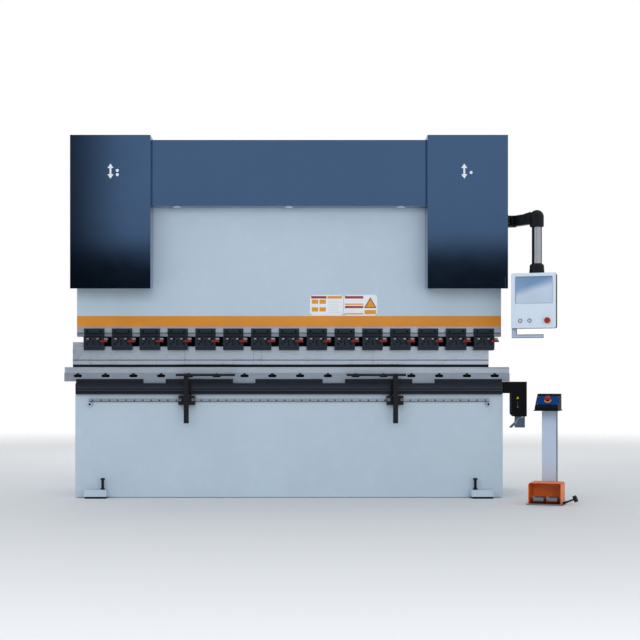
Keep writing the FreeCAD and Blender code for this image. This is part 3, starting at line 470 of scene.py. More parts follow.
def black_metal(name, colour, rough=0.42, wear=0.7, grain=260, specular=0.5):
    """Blackened or anodised metal, rubbed bright along its edges."""
    look = Look(name, colour, rough, metal=0.35, specular=specular)
    look.uneven(5, 0.14)
    look.smudge(30, 0.1)
    look.relief(look.noise(grain, detail=3.0), 0.08, 0.0004)
    look.worn(shade(96, 104, 114), 0.0012, wear)
    return look


def plastic(name, colour, rough=0.45, grain=700, strength=0.1, specular=0.5, coat=0.0):
    """Moulded plastic with a fine texture."""
    look = Look(name, colour, rough, coat=coat, specular=specular)
    look.uneven(18, 0.06)
    look.smudge(40, 0.08)
    look.relief(look.noise(grain, detail=2.0), strength, 0.0004)
    return look


def enamel(name, *colour):
    """Printed enamel on the plates."""
    return plastic(name, shade(*colour), 0.35, 900, 0.04, coat=0.3).done()


def ram_paint(machined_top, groove_low):
    """Pale paint above the machined strip, ground steel below it, with a dark line of painted shade in its
    groove and darker below the groove.
    """
    look = sheet_paint("paint_ram_with_machined_strip", BODY_COLOUR)
    bare = look.below("Z", machined_top)
    marks = look.noise(1.0, (4, 500, 800), detail=6.0, rough=0.7)
    look.tint(bare, STEEL_COLOUR)
    look.tint(look.math("MULTIPLY", bare, look.span(marks, 0.4, 0.6, 0.0, 0.35)), darker(STEEL_COLOUR, 0.4))
    look.blend_value("metal", bare, 0.8)
    look.blend_value("rough", bare, 0.36)
    # a dark line in the groove: painted shade
    look.tint(look.band("Z", groove_low, groove_low + 0.005), shade(52, 58, 66))
    # darker below the groove
    look.tint(look.below("Z", groove_low, share=0.45), shade(92, 102, 116))
    return look.done()


def punch_steel(groove, taper_top, joints):
    """Ground steel with painted shade in its long groove and on its downward taper, and dark where two
    segments meet.
    """
    look = steel("ground_punch_steel", shade(214, 225, 240), 0.27)
    for joint in joints:
        away = look.math("ABSOLUTE", look.math("SUBTRACT", look.axis("X"), joint))
        look.tint(look.span(away, 0.0016, 0.0008, 0.0, 0.6), shade(96, 104, 116))
    # dark band in the long groove: painted shade
    look.tint(look.band("Z", groove - 0.003, groove + 0.003), shade(54, 58, 66))
    # dark band on the downward taper: painted shade
    look.tint(look.span(look.axis("Z"), taper_top + 0.0004, taper_top - 0.0006), shade(40, 44, 52))
    return look.done()


def rail_steel(strip_low):
    """Pale guide rail, in shadow along its lower edge."""
    look = steel("rail_steel", shade(178, 188, 202), 0.3, (2, 300, 900), 0.2)
    edge = look.math("MULTIPLY", look.above("Z", strip_low - 0.002, FINE_EDGE),
                     look.below("Z", strip_low + 0.0034))
    look.tint(edge, shade(38, 42, 48))
    return look.done()


def rail_black(top):
    """Anodised rail with painted shade in two grooves, and painted highlights on a band above them and on the
    rib between them.
    """
    look = black_metal("black_anodised_rail", shade(23, 31, 42), 0.36, 0.45, 400)
    groove, lit, rib = shade(9, 12, 16), shade(38, 48, 60), shade(52, 62, 76)
    # lighter band and rib: painted highlights; dark grooves: painted shade
    for below_top, half, colour in ((0.06, 0.008, lit), (0.0735, 0.003, groove), (0.081, 0.003, rib),
                                    (0.0925, 0.004, groove)):
        away = look.math("ABSOLUTE", look.math("SUBTRACT", look.axis("Z"), top - below_top))
        look.tint(look.span(away, half, half - SOFT_EDGE), colour)
    return look.done()


def drive_black(switch_top):
    """Textured black paint; the limit switch below the housing is grey cast metal."""
    look = black_metal("black_textured_paint", shade(13, 15, 19), 0.5, 0.25, 900, specular=0.2)
    lower = look.below("Z", switch_top)
    look.tint(lower, shade(92, 112, 128))
    look.blend_value("rough", lower, 0.38)
    look.blend_value("metal", lower, 0.6)
    return look.done()


def cover_paint():
    """Deep blue metallic lacquer."""
    look = Look("paint_dark_blue_metallic", shade(82, 110, 147), 0.07, metal=1.0)
    look.uneven(1.3, 0.05)
    flake = look.noise(2600, detail=1.0)
    look.tint(look.span(flake, 0.5, 0.72, 0.0, 0.22), shade(120, 150, 190))
    look.smudge(5, 0.02)
    look.relief(look.noise(320, detail=2.0), 0.03, 0.0003)
    look.relief(look.noise(2.5, detail=1.0), 0.04, 0.001)
    return look.done()


def foot_black():
    """Oiled black steel with a thread's rings on the bolts."""
    look = Look("oiled_black_steel", shade(22, 24, 28), 0.38, metal=0.6)
    thread_pitch = 0.0025
    thread = look.math("SINE", look.math("MULTIPLY", look.axis("Z"), math.tau / thread_pitch))
    look.relief(thread, 0.5, 0.0008)
    look.smudge(60, 0.15)
    look.uneven(30, 0.2)
    return look.done()


def chrome():
    """Polished piston rod with the finest turning marks."""
    look = Look("hard_chrome", shade(206, 209, 214), 0.12, metal=1.0)
    look.brushed((900, 900, 4), 0.06, 0.02)
    look.smudge(18, 0.06)
    return look.done()


def galvanised():
    """Zinc-plated pipe and plate with a faint spangle."""
    look = Look("zinc_plated", shade(176, 182, 190), 0.34, metal=1.0)
    cells = look.add("ShaderNodeTexVoronoi", {"Vector": look.where, "Scale": 120.0}).outputs["Color"]
    spangle = look.add("ShaderNodeSeparateColor", {"Color": cells}).outputs[0]
    look.tint(look.span(spangle, 0.2, 0.9, 0.0, 0.16), shade(120, 126, 134))
    look.smudge(16, 0.14)
    return look.done()


def screen_glass(place, low, high):
    """A switched-off panel under glass: blue grey, with a painted reflection that pales it towards its lower
    right, and darker towards its top.
    """
    look = Look("screen_glass", shade(126, 160, 196), 0.14, coat=0.7, place=place)
    rise = look.span(look.axis("Z"), low[2], high[2])
    run = look.span(look.axis("X"), low[0], high[0])
    diagonal = look.math("SUBTRACT", look.math("MULTIPLY", run, 0.5), rise)
    # paler towards the lower right: a painted reflection
    pale = look.span(diagonal, -0.5, -0.2)
    look.tint(look.math("MULTIPLY", pale, 0.9), shade(200, 215, 234))
    # darker towards the top
    look.tint(look.span(rise, 0.55, 1.0, 0.0, 0.45), shade(96, 136, 182))
    look.relief(look.noise(0.4 / (high[2] - low[2]), detail=1.0), 0.03, 0.001)
    look.smudge(30, 0.05)
    return look.done()


def stand_paint(place, plate_top, knob_side):
    """Pale paint on the column; the floor plate and the side knob are dark steel."""
    look = sheet_paint("paint_pedestal", shade(187, 204, 228), 0.44, 0.15, 0.08, place=place)
    low = look.span(look.axis("Z"), plate_top + SOFT_EDGE, plate_top)
    out = look.math("MULTIPLY", look.above("X", knob_side, SOFT_EDGE), look.math("SUBTRACT", 1.0, low))
    dark = look.math("MAXIMUM", low, out)
    look.tint(dark, shade(74, 84, 94))
    look.tint(out, shade(24, 27, 31))
    look.blend_value("metal", dark, 0.5)
    look.blend_value("rough", dark, 0.45)
    return look.done()


# ---------------------------------------------------------------- what the pieces share

BODY_COLOUR, STEEL_COLOUR = shade(190, 208, 223), shade(205, 215, 229)
PUNCH_LENGTHS = (0.805, 0.5, 0.055, 0.805, 0.835)
STRIP_HIGH, STRIPE_HIGH = 0.072, 0.077
RAM_LOW, RAM_HIGH = BOX["ram_plate"]
STRIP_TOP = RAM_LOW.z + STRIP_HIGH
STRIPE_TOP = STRIP_TOP + STRIPE_HIGH

BODY = sheet_paint("paint_pale_blue_grey", BODY_COLOUR).done()
BAND = sheet_paint("paint_orange_band", shade(222, 142, 40), 0.4, 0.2, 0.14).done()
HOOD = sheet_paint("paint_orange_hood", shade(250, 128, 44), 0.45, 0.1,
                   wear=(shade(120, 110, 100), 0.002, 0.5)).done()
LEVER = sheet_paint("enamel_red", shade(142, 14, 8), 0.42, 0.1,
                    wear=(shade(130, 110, 105), 0.0012, 0.3)).done()
GUARD = sheet_paint("paint_dark_grey", shade(58, 64, 72), 0.5, 0.1, 0.2).done()
PACK = sheet_paint("enamel_machine_grey", shade(122, 134, 146), 0.42, 0.25, 0.2,
                   wear=(shade(110, 114, 118), 0.003, 0.4)).done()
COVER = cover_paint()
STEEL = steel("ground_tool_steel", STEEL_COLOUR, 0.33).done()
TABLE_STEEL = steel("ground_table_steel", shade(176, 187, 202), 0.38, share=0.35).done()
BRIGHT = steel("bright_screw_steel", shade(196, 200, 206), 0.26, (300, 300, 300)).done()
ALLOY = steel("clear_anodised_aluminium", shade(198, 202, 208), 0.36, (4, 420, 420), 0.15, 0.06).done()
CHROME, ZINC = chrome(), galvanised()
CLAMP = black_metal("blackened_clamp_steel", shade(33, 42, 53), 0.4, 0.5).done()
SATIN = black_metal("satin_black_supports", shade(15, 18, 24), 0.36, 0.3, 400).done()
SCREW = black_metal("black_oxide_screws", shade(15, 17, 21), 0.34, 0.5, 600).done()
CONSOLE = black_metal("black_powder_coat", shade(12, 15, 20), 0.5, 0.25, 800, specular=0.2).done()
TREAD = black_metal("cast_tread", shade(122, 132, 142), 0.45, 0.9, 300).done()
# near black without gloss: painted shade that fills holes, slots, grooves and gaps
SHADE_FILL = plastic("black_recess", shade(6, 7, 9), 0.7, specular=0.05).done()
RUBBER = plastic("black_rubber", shade(20, 21, 23), 0.72, 380, 0.3).done()
BLACK = plastic("black_moulded", shade(13, 16, 21), 0.42, 520, 0.16, specular=0.3).done()
SHELL = plastic("pale_blue_shell", shade(216, 230, 247), 0.36, 800, 0.06).done()
TRIM = plastic("pale_grey_trim", shade(176, 192, 214), 0.34, 800, 0.06).done()
RED = plastic("red_mushroom", shade(158, 16, 12), 0.34, 500, 0.05, coat=0.15).done()
YELLOW = plastic("yellow_disc", shade(232, 160, 24), 0.4).done()
BUTTON = plastic("pale_button", shade(200, 210, 220), 0.3).done()
PLATE_BLUE = plastic("blue_front_plate", shade(0, 62, 130), 0.6, 500, 0.06, specular=0.1).done()
COMPONENT = plastic("pale_component_grey", shade(196, 198, 200)).done()
WHITE, AMBER = enamel("enamel_white", 238, 241, 246), enamel("enamel_amber", 222, 156, 38)
BRICK, PALE_INK = enamel("enamel_brick", 164, 48, 62), enamel("enamel_pale_grey", 205, 209, 216)
SIGN_YELLOW = enamel("enamel_yellow", 226, 196, 40)


def dress(look, width, *names):
    """Give CAD nodes a material, welded seams and softened edges; their own meshes stay as they are."""
    for name in names:
        item = frame["nodes"][name]
        for place in item.material_slots:
            place.material = look
        weld = item.modifiers.new("weld", "WELD")
        weld.merge_threshold = 1e-5
        flat = item.modifiers.new("flat", "DECIMATE")
        flat.decimate_type = "DISSOLVE"
        flat.angle_limit = math.radians(0.5)
        soft = item.modifiers.new("soft", "BEVEL")
        soft.width = width
        soft.segments = 2
        soft.limit_method = "ANGLE"
        soft.angle_limit = math.radians(40)
        normals = item.modifiers.new("normals", "WEIGHTED_NORMAL")
        normals.keep_sharp = True


def dress_cad_nodes():
    """Every CAD node but the pedestal's, which pedestal() dresses in its own frame."""
    punch_low = BOX["punch_segments"][0]
    groove = punch_low.z + 0.063
    joints = [punch_low.x + sum(PUNCH_LENGTHS[:number]) for number in range(1, 5)]
    levers = [name for name in frame["nodes"] if name.startswith("clamp_lever")]
    dress(BODY, 0.002, "side_frame_left", "side_frame_right", "bed_beam", "oil_tank", "electrical_cabinet",
          "cabinet_door")
    dress(ram_paint(STRIP_TOP, RAM_LOW.z + 0.024), 0.0015, "ram_plate")
    dress(COVER, 0.0014, "cover_left", "cover_right", "cover_centre")
    dress(TABLE_STEEL, 0.0008, "die_holder", "crowning_table")
    dress(STEEL, 0.0006, "die_segments")
    dress(punch_steel(groove, groove - 0.031, joints), 0.0006, "punch_segments")
    dress(CLAMP, 0.001, "clamp_bodies")
    dress(rail_black(BOX["table_rail"][1].z), 0.001, "table_rail")
    dress(rail_steel(BOX["front_rail"][1].z - 0.022), 0.0006, "front_rail")
    dress(BRIGHT, 0.001, "guide_rails")
    dress(foot_black(), 0.001, "levelling_feet")
    dress(drive_black(BOX["crowning_drive"][0].z + 0.082), 0.0016, "crowning_drive")
    dress(GUARD, 0.001, "rear_guard")
    dress(PACK, 0.0015, "power_pack", "cylinder_barrels")
    dress(CHROME, 0.001, "piston_rods")
    dress(ALLOY, 0.0012, "gauge_beam", "finger_left", "finger_right")
    dress(BLACK, 0.0015, "pendant_bracket")
    dress(LEVER, 0.0014, *levers)
    for side, _ in SIDES:
        dress(SATIN, 0.003, "carriage_" + side)
        dress(SATIN, 0.0032, "post_" + side)
        dress(SATIN, 0.0016, "arm_" + side)
    dress(RED, 0.003, "control_estop", "pedestal_estop")
    dress(BUTTON, 0.001, "control_button_left", "control_button_right")


# ---------------------------------------------------------------- ram, clamps and tooling

def ram_front():
    """Orange band and the two blank information plates on the ram."""
    band = bmesh.new()
    half_thick = 0.0005
    block(band, (RAM_LOW.x, RAM_LOW.y - half_thick, STRIP_TOP),
          (RAM_HIGH.x, RAM_LOW.y + half_thick, STRIPE_TOP), 0.0002)
    piece("ram_stripe", band, [BAND], "ram")
    wide, high, first_x, gap, rivet_in = 0.24, 0.15, 0.15, 0.005, 0.007
    dome = ((0, 0.0012), (0.0035, 0.0012), (0.0028, 0.0024), (0.0014, 0.003), (0, 0.0031))
    for number, (name, marks) in enumerate((("plate_pictures", picture_marks),
                                            ("plate_triangle", triangle_marks))):
        place = facing((first_x + number * (wide + gap), RAM_LOW.y, STRIPE_TOP + 0.002), FRONT)
        mesh = bmesh.new()
        block(mesh, (0, 0, 0), (wide, high, 0.0012), 0.0003, 0, place)
        for x, y in product((rivet_in, wide - rivet_in), (rivet_in, high - rivet_in)):
            lathe(mesh, dome, place @ Matrix.Translation((x, y, 0)), 1, 12)
        marks(mesh, place, wide, high)
        piece(name, mesh, [WHITE, SCREW, BRICK, AMBER, PALE_INK], "ram")


def bar(mesh, place, wide, high, left, right, bottom, top, look):
    """A printed bar on a plate, given as shares of the plate's width and height."""
    block(mesh, (left * wide, bottom * high, 0.001), (right * wide, top * high, 0.0015), 0.0001, look,
          place)


def picture_marks(mesh, place, wide, high):
    """A header over four plain colour blocks, and a column of pale rules."""
    bar(mesh, place, wide, high, 0.04, 0.5, 0.82, 0.94, 2)
    bar(mesh, place, wide, high, 0.53, 0.96, 0.82, 0.94, 3)
    for left, bottom in product((0.06, 0.29), (0.2, 0.57)):
        bar(mesh, place, wide, high, left, left + 0.19, bottom, bottom + 0.2, 3)
    for row in range(8):
        bottom = 0.14 + 0.08 * row
        bar(mesh, place, wide, high, 0.55, 0.93 - 0.04 * (row % 3), bottom, bottom + 0.015, 4)


def triangle(radius):
    """A triangle with one corner up, about the local origin."""
    return [(radius * math.sin(turn), radius * math.cos(turn)) for turn in (0, math.tau / 3, -math.tau / 3)]


def triangle_marks(mesh, place, wide, high):
    """Plain bars on the left and a blank triangle over a colour block on the right."""
    for bottom, top, look in ((0.82, 0.94, 2), (0.52, 0.58, 3), (0.36, 0.47, 2), (0.06, 0.12, 3)):
        bar(mesh, place, wide, high, 0.03, 0.58, bottom, top, look)
    bar(mesh, place, wide, high, 0.62, 0.96, 0.07, 0.27, 3)
    centre = place @ Matrix.Translation((0.79 * wide, 0.54 * high, 0))
    for radius, look, top in ((0.052, 2, 0.0015), (0.03848, 3, 0.0019)):
        prism(mesh, triangle(radius), top, centre, 0, look, start=0.001)


LEVER_SIDE = 0.037  # a lever's pivot stands this far right of its clamp's middle
CLAMP_HALF = 0.0725
LEVERS = {name[-2:]: Vector(joint["pos_m"]) for name, joint in sorted(JOINT.items())
          if name.startswith("lever_turn")}
CLAMP_CENTRES = [pivot.x - LEVER_SIDE for pivot in LEVERS.values()]


def clamps():
    """Screws, eccentric pins and the levers' trim of the fifteen quick clamps; their nuts as bright oblong
    pads shaped as painted highlights; and black fills of painted shade in their holes and grooves and in the
    gaps between them.
    """
    clamp_low, clamp_high = BOX["clamp_bodies"]
    face, low, top = clamp_low.y, clamp_low.z, clamp_high.z
    jaw = RAM_LOW.y - 0.02
    side_x, pin_z = 0.047, low + 0.081
    jaw_screws, lock_screws_and_shades, nuts, pins, gap_shades = (bmesh.new() for _ in range(5))
    for centre in CLAMP_CENTRES:
        # the jaw screws are drawn in the shade fill, as dark dots of painted shade in their counterbores
        for x in (-side_x, side_x):
            socket_screw(jaw_screws, (centre + x, jaw, top - 0.02), FRONT, 0.007, 0.0012)
        for x, high in ((-side_x, 0.044), (0.0, 0.044), (side_x, 0.043), (-0.003, 0.064), (-0.03, 0.06)):
            # a dark ring round each lock screw: painted shade in its counterbore
            disc(lock_screws_and_shades, 0.0078, 0.001, facing((centre + x, face, low + high), FRONT), 0.0003, 1)
            socket_screw(lock_screws_and_shades, (centre + x, face - 0.0008, low + high), FRONT, 0.0052, 0.0008)
        left, right = centre - CLAMP_HALF + 0.001, centre + CLAMP_HALF - 0.001
        # a dark line across each plate just under the ram: painted shade
        block(lock_screws_and_shades, (left, face - 0.0004, RAM_LOW.z - 0.005), (right, face + 0.004, RAM_LOW.z - 0.001),
              0.0, 1)
        # a dark line between jaw and plate: painted shade in the groove
        block(lock_screws_and_shades, (left, jaw - 0.0006, top - 0.0345), (right, jaw + 0.002, top - 0.0305), 0.0, 1)
        # the lock nuts as bright oblong pads: real nuts, with their shape and brightness a painted highlight
        for x in (-0.042, 0.029):
            prism(nuts, rounded(0.0088, 0.0042, 0.0041), 0.006, facing((centre + x, face, pin_z), FRONT),
                  0.0016)
            # a dark hole beside each nut: painted shade
            disc(lock_screws_and_shades, 0.0062, 0.0012, facing((centre + x + 0.019, face, pin_z), FRONT), 0.0003, 1)
        pin = facing((centre + CLAMP_HALF - 0.004, jaw, pin_z), RIGHT)
        disc(pins, 0.0085, 0.029, pin, 0.0012)
        disc(pins, 0.0055, 0.032, pin, 0.0008)
    # black blocks in the gaps between the clamps: painted shade
    for before, after in zip(CLAMP_CENTRES, CLAMP_CENTRES[1:]):
        block(gap_shades, (before + CLAMP_HALF + 0.0005, RAM_LOW.y + 0.008, low + 0.029),
              (after - CLAMP_HALF - 0.0005, RAM_LOW.y + 0.02, RAM_LOW.z - 0.0005), 0.001)
    piece("clamp_jaw_screws", jaw_screws, [SHADE_FILL], "ram")
    piece("clamp_lock_screws", lock_screws_and_shades, [SCREW, SHADE_FILL], "ram")
    piece("clamp_nuts", nuts, [BRIGHT], "ram")
    piece("clamp_eccentric_pins", pins, [BRIGHT], "ram")
    piece("clamp_spacers", gap_shades, [SHADE_FILL], "ram")
    cap = ((0, 0), (0.007, 0), (0.0062, 0.0018), (0.004, 0.0032), (0, 0.0038))
    for number, pivot in LEVERS.items():
        lever_low, lever_high = BOX["clamp_lever_" + number]
        trim = bmesh.new()
        hub = Vector((pivot.x, lever_low.y, pivot.z))
        disc(trim, 0.0106, 0.0016, facing(hub, FRONT), 0.0006, start=-0.01)
        socket_screw(trim, hub + 0.0014 * FRONT, FRONT, 0.005, 0.0026)
        lathe(trim, cap, facing((lever_high.x - 0.001, lever_low.y + 0.0075, pivot.z), RIGHT), 1, 20)
        piece("lever_trim_" + number, trim, [SCREW, LEVER], "lever_" + number)


def die_clamps():
    """The clamping screw in each slot of the die holder, with its cap and short lever, and a black fill of
    painted shade inside each slot.
    """
    low, high = BOX["die_holder"]
    pitch, count, shift = 0.2, 16, -0.02
    slot_half, slot_radius, slot_z, clearance = 0.03, 0.01, high.z - 0.021, 0.0002
    cap_radius, cap_half = 0.0125, 0.015
    cap = [(-cap_half, 0.0075)]
    for step in range(9):
        angle = math.pi * (1 - step / 8)
        cap.append((cap_radius * math.cos(angle), 0.0085 + cap_radius * math.sin(angle)))
    cap.append((cap_half, 0.0075))
    # outline of the black fill in each slot, which is painted shade
    plug = rounded(slot_half - clearance, slot_radius - clearance, slot_radius - 0.0003)
    slot_shades, caps, keys = (bmesh.new() for _ in range(3))
    for number in range(count):
        place = facing((shift + pitch * (number - (count - 1) / 2), low.y + 0.0118, slot_z), FRONT)
        # a black fill inside the slot: painted shade
        prism(slot_shades, plug, 0.0068, place, 0.0006)
        prism(caps, cap, 0.013, place, 0.0005, start=0.011)
        tilt = place @ Matrix.Translation((0.001, 0.008, 0.013)) @ Matrix.Rotation(0.75, 4, "Z")
        block(keys, (-0.01, -0.0018, 0), (0.01, 0.0018, 0.0022), 0.0007, 0, tilt)
    piece("die_slot_plugs", slot_shades, [SHADE_FILL])
    piece("die_clamp_caps", caps, [SCREW])
    piece("die_clamp_keys", keys, [SCREW])


# ---------------------------------------------------------------- table rail, supports, feet

def table_rail_details():
    """Screws of the raised tabs and of the rail itself."""
    low, high = BOX["table_rail"]
    tabs, gap, tab_screw_in = 5, 0.16, 0.03
    length = ((high.x - low.x) - (tabs - 1) * gap) / tabs
    tab_screws, rail_screws = bmesh.new(), bmesh.new()
    for number in range(tabs):
        start = low.x + number * (length + gap)
        for x in (tab_screw_in, length / 2, length - tab_screw_in):
            socket_screw(tab_screws, (start + x, high.y - 0.006, high.z - 0.014), FRONT, 0.005, 0.0032)
    for x in row_of(16, 0.19):
        socket_screw(rail_screws, (x, low.y, high.z - 0.056), FRONT, 0.0042, 0.0008)
    piece("rail_tab_screws", tab_screws, [SCREW])
    piece("rail_screws", rail_screws, [SCREW])


def front_rail_details():
    """Dark discs of painted shade at the recessed screws along the linear rail, and the rubber noses of its
    end stops with painted shade in their middles.
    """
    low, high = BOX["front_rail"]
    strip_face = BOX["crowning_table"][0].y - 0.0122
    screws, noses = bmesh.new(), bmesh.new()
    # dark discs at the recessed screws: painted shade
    for x in row_of(48, 0.06):
        disc(screws, 0.0054, 0.0012, facing((x, strip_face, high.z - 0.011), FRONT), 0.0003, segments=16)
    piece("front_rail_screws", screws, [SHADE_FILL])
    for _, side in SIDES:
        place = facing((side * (high.x - 0.016), low.y, low.z + 0.016), FRONT)
        ring(noses, 0.0155, 0.0085, 0.003, place, look=1)
        # the dark disc in each nose's middle: painted shade
        disc(noses, 0.0083, 0.0016, place, look=0)
    piece("rail_end_stops", noses, [SHADE_FILL, TRIM])


def supports():
    """Lock rings on the carriages, the guide plate behind each post, the arm's screws and wear strips."""
    ring_x, guide_half, strip_from, strip_in = 0.047, 0.0075, 0.03, 0.02
    for name, side in SIDES:
        low, high = BOX["carriage_" + name]
        arm_low, arm_high = BOX["arm_" + name]
        centre = (low.x + high.x) / 2
        rings, guide, trim, strips = (bmesh.new() for _ in range(4))
        face, ring_z = BOX["post_" + name][1].y + 0.0005, (low.z + high.z) / 2 + 0.005
        for x in (-ring_x, ring_x):
            place = facing((centre + x, face, ring_z), FRONT)
            ring(rings, 0.0095, 0.0056, 0.0048, place)
            # the dark disc in each lock ring: painted shade in its hole
            disc(rings, 0.0056, 0.0022, place, look=1)
        guide_x = centre - side * 0.0265
        back = BOX["table_rail"][0].y - 0.0045
        prism(guide, rounded(guide_half, 0.034, 0.005), 0.007,
              facing((guide_x, back, high.z + 0.045), FRONT), 0.0008)
        block(guide, (guide_x - guide_half, back - 0.007, high.z - 0.003),
              (guide_x + guide_half, back - 0.0005, high.z + 0.02), 0.001)
        for x in (arm_low.x + 0.012, arm_high.x - 0.012):
            socket_screw(trim, (x, arm_low.y, (arm_low.z + arm_high.z) / 2), FRONT, 0.0042, 0.002)
        for x in (-0.008, 0.008):
            socket_screw(trim, (centre + x, (arm_low.y + arm_high.y) / 2, arm_high.z), UP, 0.0045, 0.003)
        for left, right in ((arm_low.x + 0.004, centre - strip_from),
                            (centre + strip_from, arm_high.x - 0.004)):
            block(strips, (left, arm_low.y + strip_in, arm_high.z - 0.0004),
                  (right, arm_high.y - strip_in, arm_high.z + 0.0008), 0.0003)
        piece("carriage_lock_rings_" + name, rings, [BRIGHT, SHADE_FILL], "carriage_" + name)
        piece("carriage_guide_" + name, guide, [SATIN], "carriage_" + name)
        piece("arm_screws_" + name, trim, [SCREW], "arm_" + name)
        piece("arm_wear_strip_" + name, strips, [ALLOY], "arm_" + name)


def feet():
    """Lock nuts and bolt heads of the levelling bolts."""
    bolt_x, bolt_y, bracket_top, bolt_top = 1.333, 0.65, 0.062, BOX["levelling_feet"][1].z
    nut = ((0.0102, 0), (0.0175, 0), (0.0175, 0.0022), (0.0155, 0.0022, 6), (0.0155, 0.0105, 6),
           (0.013, 0.0118), (0.0102, 0.0118))
    head = ((0, -0.0135), (0.0158, -0.0135, 6), (0.0158, -0.001, 6), (0.014, 0.0004), (0, 0.0004))
    nuts = bmesh.new()
    for x, y in product((-bolt_x, bolt_x), (-bolt_y, bolt_y)):
        lathe(nuts, nut, Matrix.Translation((x, y, bracket_top)), closed=True)
        lathe(nuts, head, Matrix.Translation((x, y, bolt_top)))
    piece("levelling_nuts", nuts, [SCREW])


def crowning_details():
    """Small blank marks, cover screws and the switch's bright roller arm on the crowning drive."""
    low, high = BOX["crowning_drive"]
    right, front, top = high.x, low.y, high.z
    marks, screws, roller = (bmesh.new() for _ in range(3))
    centre = right - 0.066
    prism(marks, triangle(0.011), 0.0008, facing((centre, front, top - 0.117), FRONT), start=-0.0002)
    for step, radius in enumerate((0.0026, 0.0026, 0.0044)):
        disc(marks, radius, 0.0008, facing((centre, front, top - 0.148 - 0.017 * step), FRONT), 0.0002, 1, 20,
             start=-0.0002)
    piece("drive_marks", marks, [SIGN_YELLOW, PACK])
    heights = (top - 0.014, top - 0.215)
    for x, z in product((right - 0.098, right - 0.012), heights):
        socket_screw(screws, (x, front, z), FRONT, 0.0042, 0.0026)
    for z, y in product(heights, (front + 0.014, high.y - 0.014)):
        socket_screw(screws, (right, y, z), RIGHT, 0.0042, 0.0026)
    piece("drive_screws", screws, [SCREW])
    rod_y, hub_y = front + 0.012, front + 0.016
    pipe(roller, ((right - 0.03, rod_y, top - 0.252), (right - 0.058, rod_y, top - 0.262),
                  (right - 0.078, rod_y, top - 0.292)), 0.0028, 0.008)
    disc(roller, 0.009, 0.007, facing((right - 0.03, hub_y, top - 0.252), FRONT))
    disc(roller, 0.0105, 0.008, facing((right - 0.08, hub_y, top - 0.294), FRONT), look=1)
    piece("drive_switch_arm", roller, [BRIGHT, PACK])


# ---------------------------------------------------------------- covers and what stands behind them

def axis_mark(mesh, place, dots):
    """A plain double-headed arrow with one or two dots beside it."""
    head, stem, half, tall = 0.021, 0.0065, 0.053, 0.031
    outline = [(0, half), (-head, half - tall), (-stem, half - tall), (-stem, tall - half),
               (-head, tall - half), (0, -half), (head, tall - half), (stem, tall - half),
               (stem, half - tall), (head, half - tall)]
    prism(mesh, outline, 0.0008, place, start=-0.0004)
    for number in range(dots):
        spot = place @ Matrix.Translation((0.048, 0.03 * (number - (dots - 1) / 2) - 0.01, 0))
        disc(mesh, 0.0105, 0.0008, spot, 0.0002, start=-0.0004)


def louvres(mesh, low, high, out, rows):
    """Rows of pressed louvres between two corners of a sheet's face."""
    section = ((0.009, -0.001), (0.009, 0.0012), (-0.006, 0.0085), (-0.0085, 0.007), (-0.004, -0.001))
    outline = [(-z, y) for y, z in section]
    half = abs((high - low).x + (high - low).y) / 2
    for number in range(rows):
        middle = low.lerp(high, 0.5)
        middle.z = low.z + (high.z - low.z) * (number + 0.5) / rows
        along = facing(middle, out) @ Matrix.Translation((-half, 0, 0)) @ Matrix.Rotation(math.pi / 2, 4, "Y")
        prism(mesh, outline, 2 * half, along, 0.0006)


def covers():
    """Marks, lamps, fixing screws, folded rear edges and side louvres of the three covers."""
    mark_below_top, fold_deep = 0.256, 0.016
    screw = ((0, 0), (0.0085, 0), (0.0078, 0.0024), (0.004, 0.0042), (0.004, 0.003), (0, 0.003))
    for name, side, shift, dots in (("left", -1, 0.002, 2), ("right", 1, -0.025, 1)):
        low, high = BOX["cover_" + name]
        mark, screws, vents, folds = (bmesh.new() for _ in range(4))
        axis_mark(mark, facing(((low.x + high.x) / 2 + shift, low.y, high.z - mark_below_top), FRONT), dots)
        face = (low if side < 0 else high).x
        out = side * RIGHT
        for z, y in product((low.z + 0.08, (low.z + high.z) / 2, high.z - 0.03),
                            (low.y + 0.06, high.y - 0.03)):
            lathe(screws, screw, facing((face, y, z), out), 0, 20)
        for lower in (low.z + 0.12, high.z - 0.33):
            louvres(vents, Vector((face, low.y + 0.17, lower)),
                    Vector((face, high.y - 0.11, lower + 0.19)), out, 7)
        edges = sorted((face, face - side * fold_deep))
        block(folds, (edges[0], high.y - 0.0235, low.z + 0.062), (edges[1], high.y - 0.0205, high.z - 0.002),
              0.0008)
        piece("cover_mark_" + name, mark, [WHITE])
        piece("cover_screws_" + name, screws, [BRIGHT])
        piece("cover_louvres_" + name, vents, [COVER])
        piece("cover_rear_fold_" + name, folds, [COVER])
    low, high = BOX["cover_centre"]
    lamps, screws = bmesh.new(), bmesh.new()
    for x in row_of(3, 0.8):
        place = facing((x, low.y + 0.04, low.z), DOWN)
        ring(lamps, 0.034, 0.026, 0.0065, place, look=1)
        disc(lamps, 0.0262, 0.005, place, 0.0015, 0)
    for x in row_of(7, 0.3):
        socket_screw(screws, (x, high.y - 0.04, high.z), UP, 0.0075, 0.005)
    piece("cover_lamps", lamps, [WHITE, TRIM])
    piece("cover_top_screws", screws, [BRIGHT])


# the cylinders' distance from the middle; the power pack's line, its manifold and its motor above the lid
CYLINDER_X = (BOX["cylinder_barrels"][1].x - BOX["cylinder_barrels"][0].x) / 2 - 0.115
PACK_Y, BLOCK_X, BLOCK_RISE = -0.05, 0.47, 0.11
MOTOR_X, MOTOR_R, MOTOR_RISE = (-0.42, -0.04), 0.095, 0.115


